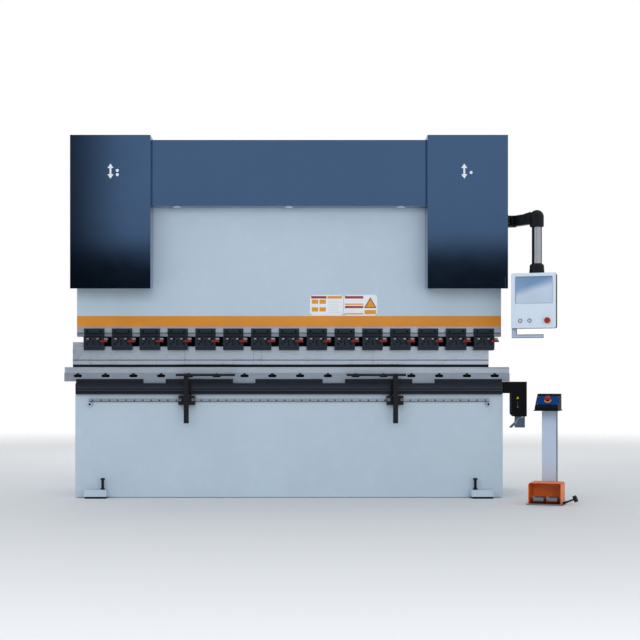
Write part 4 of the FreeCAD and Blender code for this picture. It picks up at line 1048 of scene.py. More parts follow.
def cylinder_details():
    """Flange bolts and port blocks of the cylinders, and the rods' wiper rings."""
    low, high = BOX["cylinder_barrels"]
    flange_top, bolt_circle, bolt_count, port_half = 2.165, 0.1055, 10, 0.045
    wiper = ((0.0515, -0.0035), (0.086, -0.0035), (0.088, -0.002), (0.088, 0.002), (0.0515, 0.002))
    bolts, ports, wipers = (bmesh.new() for _ in range(3))
    for _, side in SIDES:
        centre = Vector((side * CYLINDER_X, (low.y + high.y) / 2, 0))
        for step in range(bolt_count):
            angle = math.tau * (step + 0.5) / bolt_count
            spoke = Vector((bolt_circle * math.cos(angle), bolt_circle * math.sin(angle), flange_top))
            socket_screw(bolts, centre + spoke, UP, 0.0085, 0.012)
        block(ports, centre + Vector((-port_half, -port_half, high.z - 0.004)),
              centre + Vector((port_half, port_half, high.z + 0.05)), 0.004)
        lathe(wipers, wiper, Matrix.Translation(centre + Vector((0, 0, low.z))), 0, 48, closed=True)
    piece("cylinder_bolts", bolts, [SCREW])
    piece("cylinder_port_blocks", ports, [SCREW])
    piece("rod_wipers", wipers, [RUBBER])


def motor(lid):
    """Fins, fan cover and terminal box of the pump's motor, which lies along X."""
    near, far, middle = MOTOR_X[0], MOTOR_X[1], sum(MOTOR_X) / 2
    axis_z = lid + MOTOR_RISE
    fins, fan, box = (bmesh.new() for _ in range(3))
    for step in range(36):
        angle = math.tau * step / 36
        if math.sin(angle) > -0.72:
            place = Matrix.Translation((0, PACK_Y, axis_z)) @ Matrix.Rotation(angle, 4, "X")
            block(fins, (near + 0.07, MOTOR_R - 0.002, -0.0016), (far - 0.03, MOTOR_R + 0.013, 0.0016),
                  0.001, 0, place)
    piece("motor_fins", fins, [PACK])
    place = facing((near + 0.062, PACK_Y, axis_z), LEFT)
    lathe(fan, ((0.0955, 0), (0.112, 0), (0.112, 0.055), (0.1, 0.072), (0, 0.072), (0, 0.069),
                (0.098, 0.069), (0.109, 0.054), (0.109, 0.003), (0.0955, 0.003)), place, 0, 48)
    # dark rings on the fan cover: painted shade in its grille's openings
    for step in range(6):
        inner = 0.021 + 0.013 * step
        ring(fan, inner + 0.005, inner, 0.0745, place, 0.0006, 1)
    piece("motor_fan_cover", fan, [PACK, SHADE_FILL])
    for half_x, half_y, low, high, bevel in ((0.06, 0.045, -0.004, 0.05, 0.006),
                                             (0.064, 0.049, 0.05, 0.058, 0.003)):
        block(box, (middle - half_x, PACK_Y - half_y, axis_z + MOTOR_R + low),
              (middle + half_x, PACK_Y + half_y, axis_z + MOTOR_R + high), bevel)
    piece("motor_terminal_box", box, [PACK])


def manifold(lid):
    """Two valves with their coils on the manifold, and the pressure gauge beside it."""
    top = lid + BLOCK_RISE
    valves, gauge = bmesh.new(), bmesh.new()
    for row in (-1, 1):
        y = PACK_Y + row * 0.042
        block(valves, (BLOCK_X - 0.05, y - 0.024, top - 0.001), (BLOCK_X + 0.05, y + 0.024, top + 0.048),
              0.003)
        for out in (LEFT, RIGHT):
            coil = facing((BLOCK_X + out.x * 0.05, y, top + 0.025), out)
            disc(valves, 0.021, 0.06, coil, 0.002, 1)
            disc(valves, 0.01, 0.074, coil, 0.002, 2)
    piece("valve_stack", valves, [SCREW, BLACK, ZINC])
    stem = Vector((0.64, PACK_Y - 0.06, lid - 0.001))
    disc(gauge, 0.01, 0.1, Matrix.Translation(stem), 0.001, 2)
    dial = facing(stem + Vector((0, 0.012, 0.118)), BACK)
    disc(gauge, 0.032, 0.024, dial, 0.003, 0, start=-0.024)
    disc(gauge, 0.027, 0.0262, dial, 0.0005, 1, start=0.0236)
    piece("pressure_gauge", gauge, [CHROME, WHITE, ZINC])


def tank_details(lid):
    """Filler cap, lid bolts, level glass and drain plug of the oil tank."""
    low, high = BOX["oil_tank"]
    end_x = 0.9
    cap, lid_bolts, glass, drain = (bmesh.new() for _ in range(4))
    filler = Matrix.Translation((-end_x, PACK_Y, lid + 0.068))
    lathe(cap, ((0, 0), (0.044, 0), (0.044, 0.02), (0.046, 0.022), (0.046, 0.044), (0.04, 0.052),
                (0.012, 0.054), (0, 0.054)), filler, 0, 36)
    for step in range(18):
        turn = filler @ Matrix.Rotation(math.tau * step / 18, 4, "Z")
        block(cap, (0.0452, -0.0025, 0.024), (0.048, 0.0025, 0.043), 0.0008, 0, turn)
    piece("filler_cap", cap, [RUBBER])
    for x, y in product(row_of(12, (high.x - low.x - 0.16) / 11), (low.y + 0.02, high.y - 0.02)):
        hex_bolt(lid_bolts, (x, y, lid), UP, 0.0095)
    piece("tank_lid_bolts", lid_bolts, [BRIGHT])
    place = facing((end_x, high.y, (low.z + high.z) / 2), BACK)
    prism(glass, rounded(0.024, 0.095, 0.01), 0.012, place, 0.002, 0)
    prism(glass, rounded(0.01, 0.07, 0.009), 0.0165, place, 0.002, 1, start=0.011)
    for y in (-0.083, 0.083):
        socket_screw(glass, place @ Vector((0, y, 0.012)), BACK, 0.006, 0.005, 2)
    piece("tank_level_glass", glass, [ALLOY, YELLOW, SCREW])
    hex_bolt(drain, (-end_x, high.y, low.z + 0.06), BACK, 0.018, 0.016)
    piece("tank_drain_plug", drain, [BRIGHT])


def hydraulics():
    """Everything on and beside the tank's lid."""
    lid = BOX["oil_tank"][1].z + 0.008
    motor(lid)
    manifold(lid)
    tank_details(lid)
    pipes(lid)


def pipes(lid):
    """Rigid steel pipes from the manifold to both cylinders and from the pump to the manifold."""
    low, high = BOX["cylinder_barrels"]
    port_y = (low.y + high.y) / 2 + 0.044
    over_y = port_y + 0.106
    high_z, low_z, port_z = lid + 0.055, lid + 0.02, high.z + 0.025
    detour_x, detour_y = BLOCK_X - 0.14, -0.23
    nut = ((0, 0), (0.019, 0, 6), (0.019, 0.026, 6), (0.014, 0.034), (0, 0.034))
    lines, nuts = bmesh.new(), bmesh.new()
    for side, bend, run, run_z in (
            (-1, 0.026, [(detour_x, PACK_Y, high_z), (detour_x, detour_y, high_z),
                         (detour_x, detour_y, low_z), (-CYLINDER_X, detour_y, low_z)], low_z),
            (1, 0.014, [(CYLINDER_X, PACK_Y, high_z)], high_z)):
        start, end_x = (BLOCK_X + side * 0.09, PACK_Y, high_z), side * CYLINDER_X
        end = (end_x, port_y, port_z)
        pipe(lines, [start, *run, (end_x, over_y, run_z), (end_x, over_y, port_z), end], 0.011, bend)
        lathe(nuts, nut, facing(start, side * RIGHT))
        lathe(nuts, nut, facing(end, BACK))
    pump_x, valve_x, axis_z = MOTOR_X[1] + 0.15, BLOCK_X - 0.06, lid + MOTOR_RISE
    pipe(lines, ((pump_x, PACK_Y, axis_z + 0.055), (pump_x, PACK_Y, axis_z + 0.11),
                 (valve_x, PACK_Y, axis_z + 0.11), (valve_x, PACK_Y, lid + BLOCK_RISE + 0.04)), 0.009, 0.028)
    piece("hydraulic_pipes", lines, [ZINC])
    piece("pipe_nuts", nuts, [ZINC])


def back_gauge():
    """Gauge drive motor, side screws with their bearings, rail carriages, scales and finger tips."""
    low, high = BOX["gauge_beam"]
    under = low.z
    screw_x, screw_z, ends, shoe = high.x - 0.11, under - 0.052, (-0.15, 0.47), (1.292, 1.348)
    screws, bearings, shoes, drive, scales = (bmesh.new() for _ in range(5))
    for _, side in SIDES:
        x = side * screw_x
        disc(screws, 0.012, 0.64, facing((x, ends[0], screw_z), BACK), 0.001, 0, 24)
        for y in ends:
            block(bearings, (x - 0.03, y, under - 0.085), (x + 0.098, y + 0.03, under - 0.02), 0.004)
        shoe_x = sorted(side * reach for reach in shoe)
        block(shoes, (shoe_x[0], low.y + 0.004, under - 0.0225), (shoe_x[1], high.y - 0.004, under - 0.0005),
              0.003)
        disc(shoes, 0.026, 0.06, facing((x, low.y + 0.02, screw_z), BACK), 0.002)
    block(drive, (-screw_x - 0.042, 0.5, under - 0.094), (-screw_x + 0.042, 0.5595, under - 0.01), 0.006)
    for y in (low.y, high.y):
        block(scales, (low.x + 0.03, y - 0.001, high.z - 0.032), (high.x - 0.03, y + 0.001, high.z - 0.014),
              0.0003)
    piece("gauge_ball_screws", screws, [CHROME])
    piece("gauge_screw_bearings", bearings, [SCREW])
    piece("gauge_motor", drive, [BLACK])
    piece("gauge_beam_scales", scales, [SCREW], "gauge_beam")
    piece("gauge_beam_shoes", shoes, [SCREW], "gauge_beam")
    for name, _ in SIDES:
        low, high = BOX["finger_" + name]
        centre = (low.x + high.x) / 2
        tip = bmesh.new()
        block(tip, (centre - 0.026, low.y - 0.003, high.z - 0.031), (centre + 0.026, low.y + 0.014,
              high.z + 0.004), 0.0015)
        for x in (centre - 0.014, centre + 0.014):
            socket_screw(tip, (x, low.y + 0.07, high.z), UP, 0.005, 0.005, 1)
            socket_screw(tip, (x, high.y - 0.03, high.z), UP, 0.006, 0.006, 1)
        piece("finger_tip_" + name, tip, [STEEL, SCREW], "finger_" + name)


def rear_guard():
    """Ribs, handles, slotted windows and bolts on the rear guard's three bays."""
    low, high = BOX["rear_guard"]
    bays, rib_half, edge = 3, 0.02, 0.02
    middle_z = (low.z + high.z) / 2
    bay = (high.x - low.x) / bays
    handle = ((-0.07, 0, 0), (-0.07, 0, 0.04), (0.07, 0, 0.04), (0.07, 0, 0))
    ribs, slots, grips, bolts = (bmesh.new() for _ in range(4))
    for share in (0.0, 0.333, 0.667, 1.0):
        x = low.x + edge + share * (high.x - low.x - 2 * edge)
        block(ribs, (x - rib_half, high.y - 0.001, low.z + 0.002),
              (x + rib_half, high.y + 0.022, high.z - 0.002), 0.003)
    for z in (low.z + edge, middle_z, high.z - edge):
        block(ribs, (low.x + 0.002, high.y - 0.001, z - 0.018), (high.x - 0.002, high.y + 0.018, z + 0.018),
              0.003)
    for centre in row_of(bays, bay):
        # the slotted windows as thin black sheets: painted shade in the openings
        for x, z in product(row_of(9, 0.075), row_of(14, 0.034)):
            place = facing((centre + x, high.y, middle_z + 0.34 + z), BACK)
            prism(slots, rounded(0.028, 0.0065, 0.006, 3), 0.0006, place, start=-0.0004)
        place = facing((centre, high.y + 0.0005, low.z + 0.33), BACK)
        pipe(grips, [place @ Vector(corner) for corner in handle], 0.007, 0.016)
    for x, z in product((edge - high.x, high.x - edge), (low.z + 0.06, middle_z + 0.06, high.z - 0.06)):
        hex_bolt(bolts, (x, high.y + 0.022, z), BACK, 0.01)
    piece("guard_ribs", ribs, [GUARD])
    piece("guard_slots", slots, [SHADE_FILL])
    piece("guard_handles", grips, [BLACK])
    piece("guard_bolts", bolts, [BRIGHT])


def frame_details():
    """Lifting eyes, stiffening strips and weld beads on the side frames."""
    plate_in, plate_out, strip_out = 1.35, 1.4, 1.416
    tank_low, tank_high = BOX["oil_tank"]
    eyes, strips, welds = (bmesh.new() for _ in range(3))
    for name, side in SIDES:
        top = BOX["side_frame_" + name][1].z
        for y in (0.3, -0.1):
            ring(eyes, 0.058, 0.034, 0.01, facing((side * plate_out, y, top - 0.075), side * RIGHT), 0.002)
        for z in (2.06, 2.12):
            x = side * plate_in
            pipe(welds, ((x, -0.4795, z), (x, -0.3305, z)), 0.006, 0.01, 0, 8)
        x = side * (plate_in - 0.001)
        for y in (tank_low.y, tank_high.y):
            pipe(welds, ((x, y, tank_low.z + 0.004), (x, y, tank_high.z - 0.004)), 0.005, 0.01, 0, 8)
        pipe(welds, ((x, -0.5245, 0.03), (x, -0.5245, 0.735)), 0.006, 0.01, 0, 8)
        edges = sorted((side * plate_out, side * strip_out))
        block(strips, (edges[0], 0.555, 0.9), (edges[1], 0.598, 2.2), 0.002)
    piece("lifting_eye_rims", eyes, [BODY])
    piece("frame_weld_beads", welds, [BODY])
    piece("frame_edge_strips", strips, [BODY])


def cabinet_door():
    """Handle, hinges, louvres and gasket of the cabinet's door."""
    low, high = BOX["cabinet_door"]
    handle, hinges, vents, dark_rim = (bmesh.new() for _ in range(4))
    place = facing((high.x, low.y + 0.045, (low.z + high.z) / 2), RIGHT)
    prism(handle, rounded(0.016, 0.075, 0.012), 0.004, place, 0.001, 1)
    block(handle, (-0.011, -0.052, 0.004), (0.011, 0.052, 0.019), 0.005, 0, place)
    disc(handle, 0.01, 0.0215, place @ Matrix.Translation((0, 0.062, 0)), 0.001, 1)
    for z in (low.z + 0.06, high.z - 0.12):
        disc(hinges, 0.0065, 0.06, Matrix.Translation((high.x - 0.001, high.y - 0.0065, z)), 0.001)
    for lower in (low.z + 0.06, high.z - 0.17):
        louvres(vents, Vector((high.x, low.y + 0.18, lower)),
                Vector((high.x, high.y - 0.12, lower + 0.11)), RIGHT, 5)
    left, right, bottom, top = low.y + 0.012, high.y - 0.012, low.z + 0.012, high.z - 0.012
    wide = 0.008
    for y_low, y_high, z_low, z_high in ((left, left + wide, bottom, top),
                                         (right - wide, right, bottom, top),
                                         (left, right, bottom, bottom + wide),
                                         (left, right, top - wide, top)):
        block(dark_rim, (low.x - 0.0004, y_low, z_low), (low.x + 0.001, y_high, z_high), 0.0003)
    piece("door_handle", handle, [BLACK, ZINC], "cabinet_door")
    piece("door_hinges", hinges, [ZINC], "cabinet_door")
    piece("door_louvres", vents, [BODY], "cabinet_door")
    piece("door_gasket", dark_rim, [RUBBER], "cabinet_door")


def cabinet_inside():
    """Mounting plate, wiring ducts, contactors, drives with fins and a row of terminals."""
    low, high = BOX["cabinet_door"]
    back = BOX["electrical_cabinet"][0].x + 0.004
    plate = back + 0.004
    gear, ducts = bmesh.new(), bmesh.new()
    block(gear, (back, low.y + 0.025, low.z + 0.025), (plate, high.y - 0.025, high.z - 0.025))
    for z in (low.z + 0.05, (low.z + high.z) / 2 - 0.02, high.z - 0.11):
        block(ducts, (plate, low.y + 0.04, z), (back + 0.055, high.y - 0.04, z + 0.038), 0.002)
        # dark strips along each duct: painted shade in the slots between its fingers
        for step in range(30):
            y = low.y + 0.052 + step * 0.0158
            block(ducts, (back + 0.05, y, z - 0.0005), (back + 0.056, y + 0.006, z + 0.0385), 0.0005, 1)
    for number in range(6):
        y = low.y + 0.06 + number * 0.052
        block(gear, (plate, y, low.z + 0.13), (back + 0.075, y + 0.044, low.z + 0.215), 0.003, 1)
        block(gear, (back + 0.075, y + 0.008, low.z + 0.15), (back + 0.084, y + 0.036, low.z + 0.195),
              0.002, 2)
    for number in range(3):
        y = low.y + 0.06 + number * 0.13
        block(gear, (plate, y, high.z - 0.3), (back + 0.12, y + 0.11, high.z - 0.13), 0.004, 2)
        for fin in range(8):
            z = high.z - 0.29 + fin * 0.01
            block(gear, (back + 0.1195, y + 0.012, z), (back + 0.122, y + 0.098, z + 0.005), 0.0006, 1)
    for number in range(22):
        y = low.y + 0.07 + number * 0.0125
        block(gear, (plate, y, low.z + 0.092), (back + 0.045, y + 0.011, low.z + 0.118), 0.001,
              3 if number % 6 else 2)
    piece("cabinet_gear", gear, [ZINC, COMPONENT, BLACK, BODY])
    piece("cabinet_ducts", ducts, [TRIM, SHADE_FILL])


# ---------------------------------------------------------------- pendant

def pendant_arm():
    """Square arm, domed elbow and the black drop tube, with bright strips on its front and rear that stand
    for painted highlights.
    """
    pivot = Vector(JOINT["pendant_swing"]["pos_m"])
    drop = Vector(JOINT["control_box_turn"]["pos_m"])
    reach = (drop - pivot).xy.length
    turn = math.atan2(drop.y - pivot.y, drop.x - pivot.x)
    place = Matrix.Translation((pivot.x, pivot.y, 0)) @ Matrix.Rotation(turn, 4, "Z")
    low, high = local_box(["pendant_arm"], place)
    beam_low, beam_high, half = 1.933, 2.008, 0.025
    hub_low, hub_high, hub_r = 1.9435, 1.9975, 0.026
    tube_top, elbow_r, tube_r = 1.908, 0.048, 0.0345
    middle = (beam_low + beam_high) / 2
    lengthwise = place @ Matrix.Translation((0, 0, middle)) @ Matrix.Rotation(math.pi / 2, 4, "Y")
    arm, tube, strips = (bmesh.new() for _ in range(3))
    ring(arm, hub_r, 0.0122, hub_high - hub_low, place @ Matrix.Translation((0, 0, hub_low)), 0.002)
    prism(arm, rounded((hub_high - hub_low) / 2, 0.02, 0.004), 0.036, lengthwise, start=0.02)
    prism(arm, rounded((beam_high - beam_low) / 2, half, 0.008), reach - 0.006, lengthwise, 0.0015,
          start=0.034)
    dome_start = beam_high - 0.03
    profile = [(0, tube_top), (elbow_r - 0.003, tube_top), (elbow_r, tube_top + 0.003), (elbow_r, dome_start)]
    for step in range(1, 8):
        angle = math.pi / 2 * step / 8
        profile.append((elbow_r * math.cos(angle), dome_start + (high.z - dome_start) * math.sin(angle)))
    profile.append((0, high.z))
    elbow = place @ Matrix.Translation((reach, 0, 0))
    lathe(arm, profile, elbow, 0, 40)
    shoulder = [(-0.022, 0.038), (-0.022, -0.038), (0.052, -0.04), (0.064, 0.02), (0.036, 0.045)]
    side_on = place @ Matrix.Translation((reach - 0.075, half + 0.004, middle)) \
        @ Matrix.Rotation(math.pi / 2, 4, "X")
    prism(arm, shoulder, 2 * half + 0.008, side_on, 0.004)
    piece("pendant_elbow_arm", arm, [BLACK], "pendant_arm")
    disc(tube, tube_r, tube_top + 0.002, elbow, 0.0015, 0, 48, start=low.z)
    made = piece("pendant_drop_tube", tube, [BLACK], "pendant_arm")
    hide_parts("pendant_arm")
    # bright strips turned a little off the front, and the same behind: painted highlights on the round tube
    half_width, highlight_shift = 0.69, 0.32
    outline = []
    for radius, way in ((tube_r + 0.0012, 1), (tube_r - 0.002, -1)):
        for step in range(11):
            angle = half_width * (step / 5 - 1) * way
            outline.append((radius * math.cos(angle), radius * math.sin(angle)))
    front_turn = control_frame().to_euler().z - math.pi / 2 + highlight_shift
    for facing_turn in (front_turn, front_turn + math.pi):
        spin = Matrix.Translation((drop.x, drop.y, 0)) @ Matrix.Rotation(facing_turn, 4, "Z")
        prism(strips, outline, tube_top - 0.004, spin, start=low.z + 0.004)
    piece("pendant_tube_strips", strips, [ALLOY], "pendant_arm")
    bolts, web = bmesh.new(), bmesh.new()
    low, high = BOX["pendant_bracket"]
    for y, z in product((low.y + 0.016, high.y - 0.016), (low.z + 0.02, high.z - 0.02)):
        hex_bolt(bolts, (low.x + 0.006, y, z), RIGHT, 0.0065)
    piece("bracket_bolts", bolts, [BRIGHT])
    block(web, (low.x + 0.005, pivot.y - 0.045, hub_low),
          (pivot.x - hub_r - 0.002, pivot.y + 0.045, hub_high), 0.002)
    piece("bracket_web", web, [BLACK])


def control_frame():
    """The control box's own frame: origin on its turning axis, -Y out of the screen."""
    inward = Vector(JOINT["control_estop_push"]["axis"])
    drop = Vector(JOINT["control_box_turn"]["pos_m"])
    turn = math.atan2(-inward.x, inward.y)
    return Matrix.Translation((drop.x, drop.y, 0)) @ Matrix.Rotation(turn, 4, "Z")


def control_shells(flat, size, depth):
    """Thin pale front frame on a black rear shell that is hollow behind the buttons."""
    half_x, half_z = size
    rim, frame_deep, hollow, wall = 0.022, 0.014, 0.045, 0.006
    shell, rear = bmesh.new(), bmesh.new()
    prism(shell, rounded(half_x, half_z, 0.01), 0.0, flat, 0.003, start=-frame_deep)
    prism(shell, rounded(half_x - rim, half_z - rim, 0.005), 0.0018, flat, 0.0014, start=-0.002)
    made = piece("control_front_shell", shell, [SHELL], "control_box")
    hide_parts("control_box")
    side_x, side_z = half_x - 0.001, half_z - 0.001
    prism(rear, rounded(side_x, side_z, 0.011), -hollow, flat, 0.0015, start=0.0002 - depth)
    for low_x, high_x, low_z, high_z in ((-side_x, wall - side_x, -side_z, side_z),
                                         (side_x - wall, side_x, -side_z, side_z),
                                         (-side_x, side_x, -side_z, wall - side_z),
                                         (-side_x, side_x, side_z - wall, side_z)):
        block(rear, (low_x, low_z, -hollow - 0.002), (high_x, high_z, -frame_deep - 0.0002), 0.0008, 0, flat)
    # dark vent slots on the back: painted shade in the openings
    for step in range(9):
        slot = flat @ Matrix.Translation((0, 0.06 + 0.012 * step, -depth - 0.0004))
        prism(rear, rounded(0.055, 0.0028, 0.0027, 3), 0.0008, slot, 0.0, 1)
    piece("control_rear_shell", rear, [BLACK, SHADE_FILL], "control_box")


def control_screen(place, front):
    """The screen in its bezel, with a black band set off centre towards the top left: painted shade where the
    screen sits recessed.
    """
    low, high = (-0.137, front, 1.377), (0.11, front, 1.556)
    half_x, half_z = (high[0] - low[0]) / 2, (high[2] - low[2]) / 2
    pane = place @ facing(Vector(low).lerp(Vector(high), 0.5), FRONT)
    bezel, screen = bmesh.new(), bmesh.new()
    prism(bezel, rounded(half_x + 0.0055, half_z + 0.0055, 0.004), 0.0034, pane, 0.001)
    # black band off centre to the top left: painted shade along the recessed screen's edges
    dark_rim = pane @ Matrix.Translation((-0.001, 0.0012, 0))
    prism(bezel, rounded(half_x + 0.0012, half_z + 0.0014, 0.002), 0.0038, dark_rim, 0.0003, 1)
    prism(screen, rounded(half_x, half_z, 0.002), 0.0042, pane, 0.0005, start=0.0022)
    piece("screen_bezel", bezel, [TRIM, BLACK], "control_box")
    piece("screen", screen, [screen_glass(place, low, high)], "control_box")


def estop_trim(name, place, disc_high, collar_high, outer, soft, body):
    """The yellow disc and black collar round an emergency stop."""
    mesh = bmesh.new()
    stem_r = 0.0084
    ring(mesh, outer, stem_r, disc_high, place, soft, 0, 48)
    ring(mesh, 0.013, stem_r, collar_high, place, 0.001, 1, 40)
    piece(name, mesh, [YELLOW, SCREW], body)


def control_box():
    """The control box's shells, screen, button rings, emergency stop, top collar and handle."""
    place = control_frame()
    low, high = local_box(["control_box"], place)
    left, right, bottom, top = -0.171, 0.135, 1.203, 1.584
    front = low.y
    flat = place @ facing(((left + right) / 2, front, (bottom + top) / 2), FRONT)
    control_shells(flat, ((right - left) / 2, (top - bottom) / 2), high.y - front)
    control_screen(place, front)
    rings, cap, collar, grip = (bmesh.new() for _ in range(4))
    for name in ("control_button_left", "control_button_right"):
        button_low, button_high = local_box([name], place)
        spot = (button_low + button_high) / 2
        ring(rings, 0.015, 0.0099, 0.0052, place @ facing((spot.x, front, spot.z), FRONT), 0.0012, 0, 40)
    piece("button_rings", rings, [CHROME], "control_box")
    stop_low, stop_high = local_box(["control_estop"], place)
    spot = (stop_low + stop_high) / 2
    estop_trim("control_estop_collar", place @ facing((spot.x, front, spot.z), FRONT), 0.0028, 0.0085,
               0.0225, 0.0008, "control_box")
    mushroom_cap(cap, place @ facing((spot.x, stop_low.y, spot.z), FRONT), 0.019)
    piece("control_estop_cap", cap, [RED], "control_estop")
    lathe(collar, ((0, top - 0.001), (0.052, top - 0.001), (0.052, top + 0.01), (0.0505, top + 0.026),
                   (0.049, high.z - 0.01), (0.043, high.z - 0.0005), (0, high.z - 0.0005)), place, 0, 48)
    piece("control_collar", collar, [BLACK], "control_box")
    handle_r, bar_left, bar_right, plate_right, outline = 0.011, -0.15, 0.044, -0.139, 0.0014
    handle_z = low.z + handle_r
    block(grip, (left, -handle_r, low.z), (plate_right, handle_r, bottom + 0.001), 0.0035, 0, place)
    prism(grip, rounded(handle_r - 0.0005, handle_r - 0.0005, 0.007), bar_right,
          place @ Matrix.Translation((0, 0, handle_z)) @ Matrix.Rotation(math.pi / 2, 4, "Y"), 0.002,
          start=bar_left)
    for edge_left, edge_right, edge_top in ((left, plate_right, bottom),
                                            (bar_left, bar_right, handle_z + handle_r)):
        block(grip, (edge_left - outline, -0.006, low.z - outline),
              (edge_right + outline, handle_r + 0.0002, edge_top + outline), 0.0015, 1, place)
    piece("control_handle", grip, [TRIM, BLACK], "control_box")


def mushroom_cap(mesh, place, radius):
    """A shallow dome with a flat crown over the button's head."""
    profile = [(0, -0.0005), (radius * 0.98, -0.0005)]
    for step in range(1, 6):
        angle = math.pi / 2 * step / 6
        profile.append((radius * 0.98 * math.cos(angle) ** 0.8, 0.0055 * math.sin(angle)))
    lathe(mesh, (*profile, (radius * 0.34, 0.005), (0, 0.0052)), place, 0, 40)


# ---------------------------------------------------------------- pedestal

def pedestal_frame():
    """The pedestal's own frame: its turned axes, with the pedals' pin 10 mm in front."""
    pin = Vector(JOINT["pedal_press_left"]["pos_m"])
    axis = Vector(JOINT["pedal_press_left"]["axis"])
    turn = math.atan2(axis.y, axis.x)
    spin = Matrix.Rotation(turn, 4, "Z")
    origin = pin - spin @ Vector((0, -0.01, 0))
    return Matrix.Translation((origin.x, origin.y, 0)) @ spin


def pedestal():
    """Materials by place on the stand; treads, hood screws, plate edge, column folds with a dark strip of
    painted shade on the column's right side, and knob grip.
    """
    place = pedestal_frame()
    outward = place.to_3x3()
    dress(stand_paint(place, 0.0061, 0.1095), 0.002, "pedestal_stand")
    dress(HOOD, 0.0012, "pedal_hood")
    dress(TREAD, 0.0015, "pedal_left", "pedal_right")
    dress(CONSOLE, 0.0024, "pedestal_console")
    for name, _ in SIDES:
        low, high = local_box(["pedal_" + name], place)
        ribs = bmesh.new()
        for step in range(8):
            y = low.y + 0.006 + 0.0125 * step
            block(ribs, (low.x + 0.004, y, high.z - 0.0055), (high.x - 0.004, y + 0.0055, high.z - 0.0008),
                  0.0012, 0, place)
        block(ribs, (low.x + 0.0005, low.y - 0.0012, high.z - 0.024),
              (high.x - 0.0005, low.y + 0.006, high.z + 0.0005), 0.002, 0, place)
        piece("pedal_tread_" + name, ribs, [TREAD], "pedal_" + name)
    low, high = local_box(["pedal_hood"], place)
    screws, lip, folds, grip = (bmesh.new() for _ in range(4))
    for side, y in product((-1, 1), (low.y + 0.035, high.y - 0.035)):
        hex_bolt(screws, place @ Vector((side * high.x, y, 0.022)), outward @ (side * RIGHT), 0.006)
    for x in (-0.085, 0.085):
        socket_screw(screws, place @ Vector((x, 0.125, 0.006)), UP, 0.0075)
    piece("hood_screws", screws, [BRIGHT], "pedestal")
    corner = local_box(["pedestal_stand"], place)[0]
    block(lip, (corner.x + 0.002, corner.y - 0.004, 0), (-corner.x - 0.002, corner.y + 0.004, 0.0095), 0.0015,
          0, place)
    for x in (-0.1, 0.1):
        disc(lip, 0.013, 0.004, place @ Matrix.Translation((x, 0.12, 0.0055)), 0.001)
    piece("pedestal_floor_edge", lip, [TREAD], "pedestal")
    bottom, top = 0.0065, 0.6315
    for x_low, x_high in ((-0.0492, -0.042), (0.042, 0.0492)):
        block(folds, (x_low, 0.0592, bottom), (x_high, 0.0612, top), 0.0007, 0, place)
    # a thin dark strip on the column's right side: painted shade
    block(folds, (0.0486, 0.064, bottom), (0.0498, 0.119, top), 0.0003, 1, place)
    piece("column_folds", folds, [BODY, GUARD], "pedestal")
    rod = place @ Matrix.Translation((0.12, -0.06, 0.012)) @ Matrix.Rotation(math.radians(-22), 4, "Y")
    knob = rod @ facing((0.066, 0, 0), RIGHT)
    for step in range(10):
        turn = knob @ Matrix.Rotation(math.tau * step / 10, 4, "Z")
        block(grip, (0.019, -0.0036, 0.001), (0.0226, 0.0036, 0.023), 0.0014, 0, turn)
    piece("pedestal_knob_grip", grip, [BLACK], "pedestal")
    console_details(place)


def console_details(place):
    """Blue plate on the slope with its corner screws, and the trim and cap of its emergency stop."""
    inverse = place.inverted()
    out = -(inverse.to_3x3() @ Vector(JOINT["pedestal_estop_push"]["axis"])).normalized()
    low, high = local_box(["pedestal_estop"], place)
    head_top = max((inverse @ vert.co).dot(out) for vert in frame["nodes"]["pedestal_estop"].data.vertices)
    middle = (low + high) / 2
    head = middle + out * (head_top - middle.dot(out))
    head.x = middle.x
    stand_off = 0.03
    slope = place @ facing(head - out * stand_off, out)
    plate, screws, cap = (bmesh.new() for _ in range(3))
    prism(plate, rounded(0.0735, 0.046, 0.003), 0.0018, slope @ Matrix.Translation((0, 0.004, 0)), 0.0006,
          start=-0.0006)
    piece("console_plate", plate, [PLATE_BLUE], "pedestal")
    for x, y in product((-0.068, 0.068), (-0.036, 0.044)):
        socket_screw(screws, slope @ Vector((x, y, 0.0016)), place.to_3x3() @ out, 0.0032, 0.0016)
    piece("console_screws", screws, [BRIGHT], "pedestal")
    estop_trim("console_estop_disc", slope, 0.0052, 0.008, 0.023, 0.001, "pedestal")
    mushroom_cap(cap, slope @ Matrix.Translation((0, 0, stand_off)), 0.019)
    piece("console_estop_cap", cap, [RED], "pedestal_estop")


# ---------------------------------------------------------------- stage, light and camera

def stage():
    """A round pale floor that fades into the backdrop far from the machine."""
    radius, fade_from, fade_to = 16.0, 5.0, 14.0
    mesh = bmesh.new()
    bmesh.ops.create_circle(mesh, cap_ends=True, segments=96, radius=radius)
    data = bpy.data.meshes.new("studio_floor")
    mesh.to_mesh(data)
    mesh.free()
    floor = bpy.data.objects.new("studio_floor", data)
    bpy.context.scene.collection.objects.link(floor)
    look = Look("studio_floor", shade(236, 238, 241), 0.75)
    distance = look.add("ShaderNodeVectorMath", {0: look.where}, operation="LENGTH").outputs["Value"]
    look.relief(look.noise(60, detail=2.0), 0.03, 0.001)
    look.wire(look.span(distance, fade_from, fade_to, 1.0, 0.0), look.shader.inputs["Alpha"])
    data.materials.append(look.done())


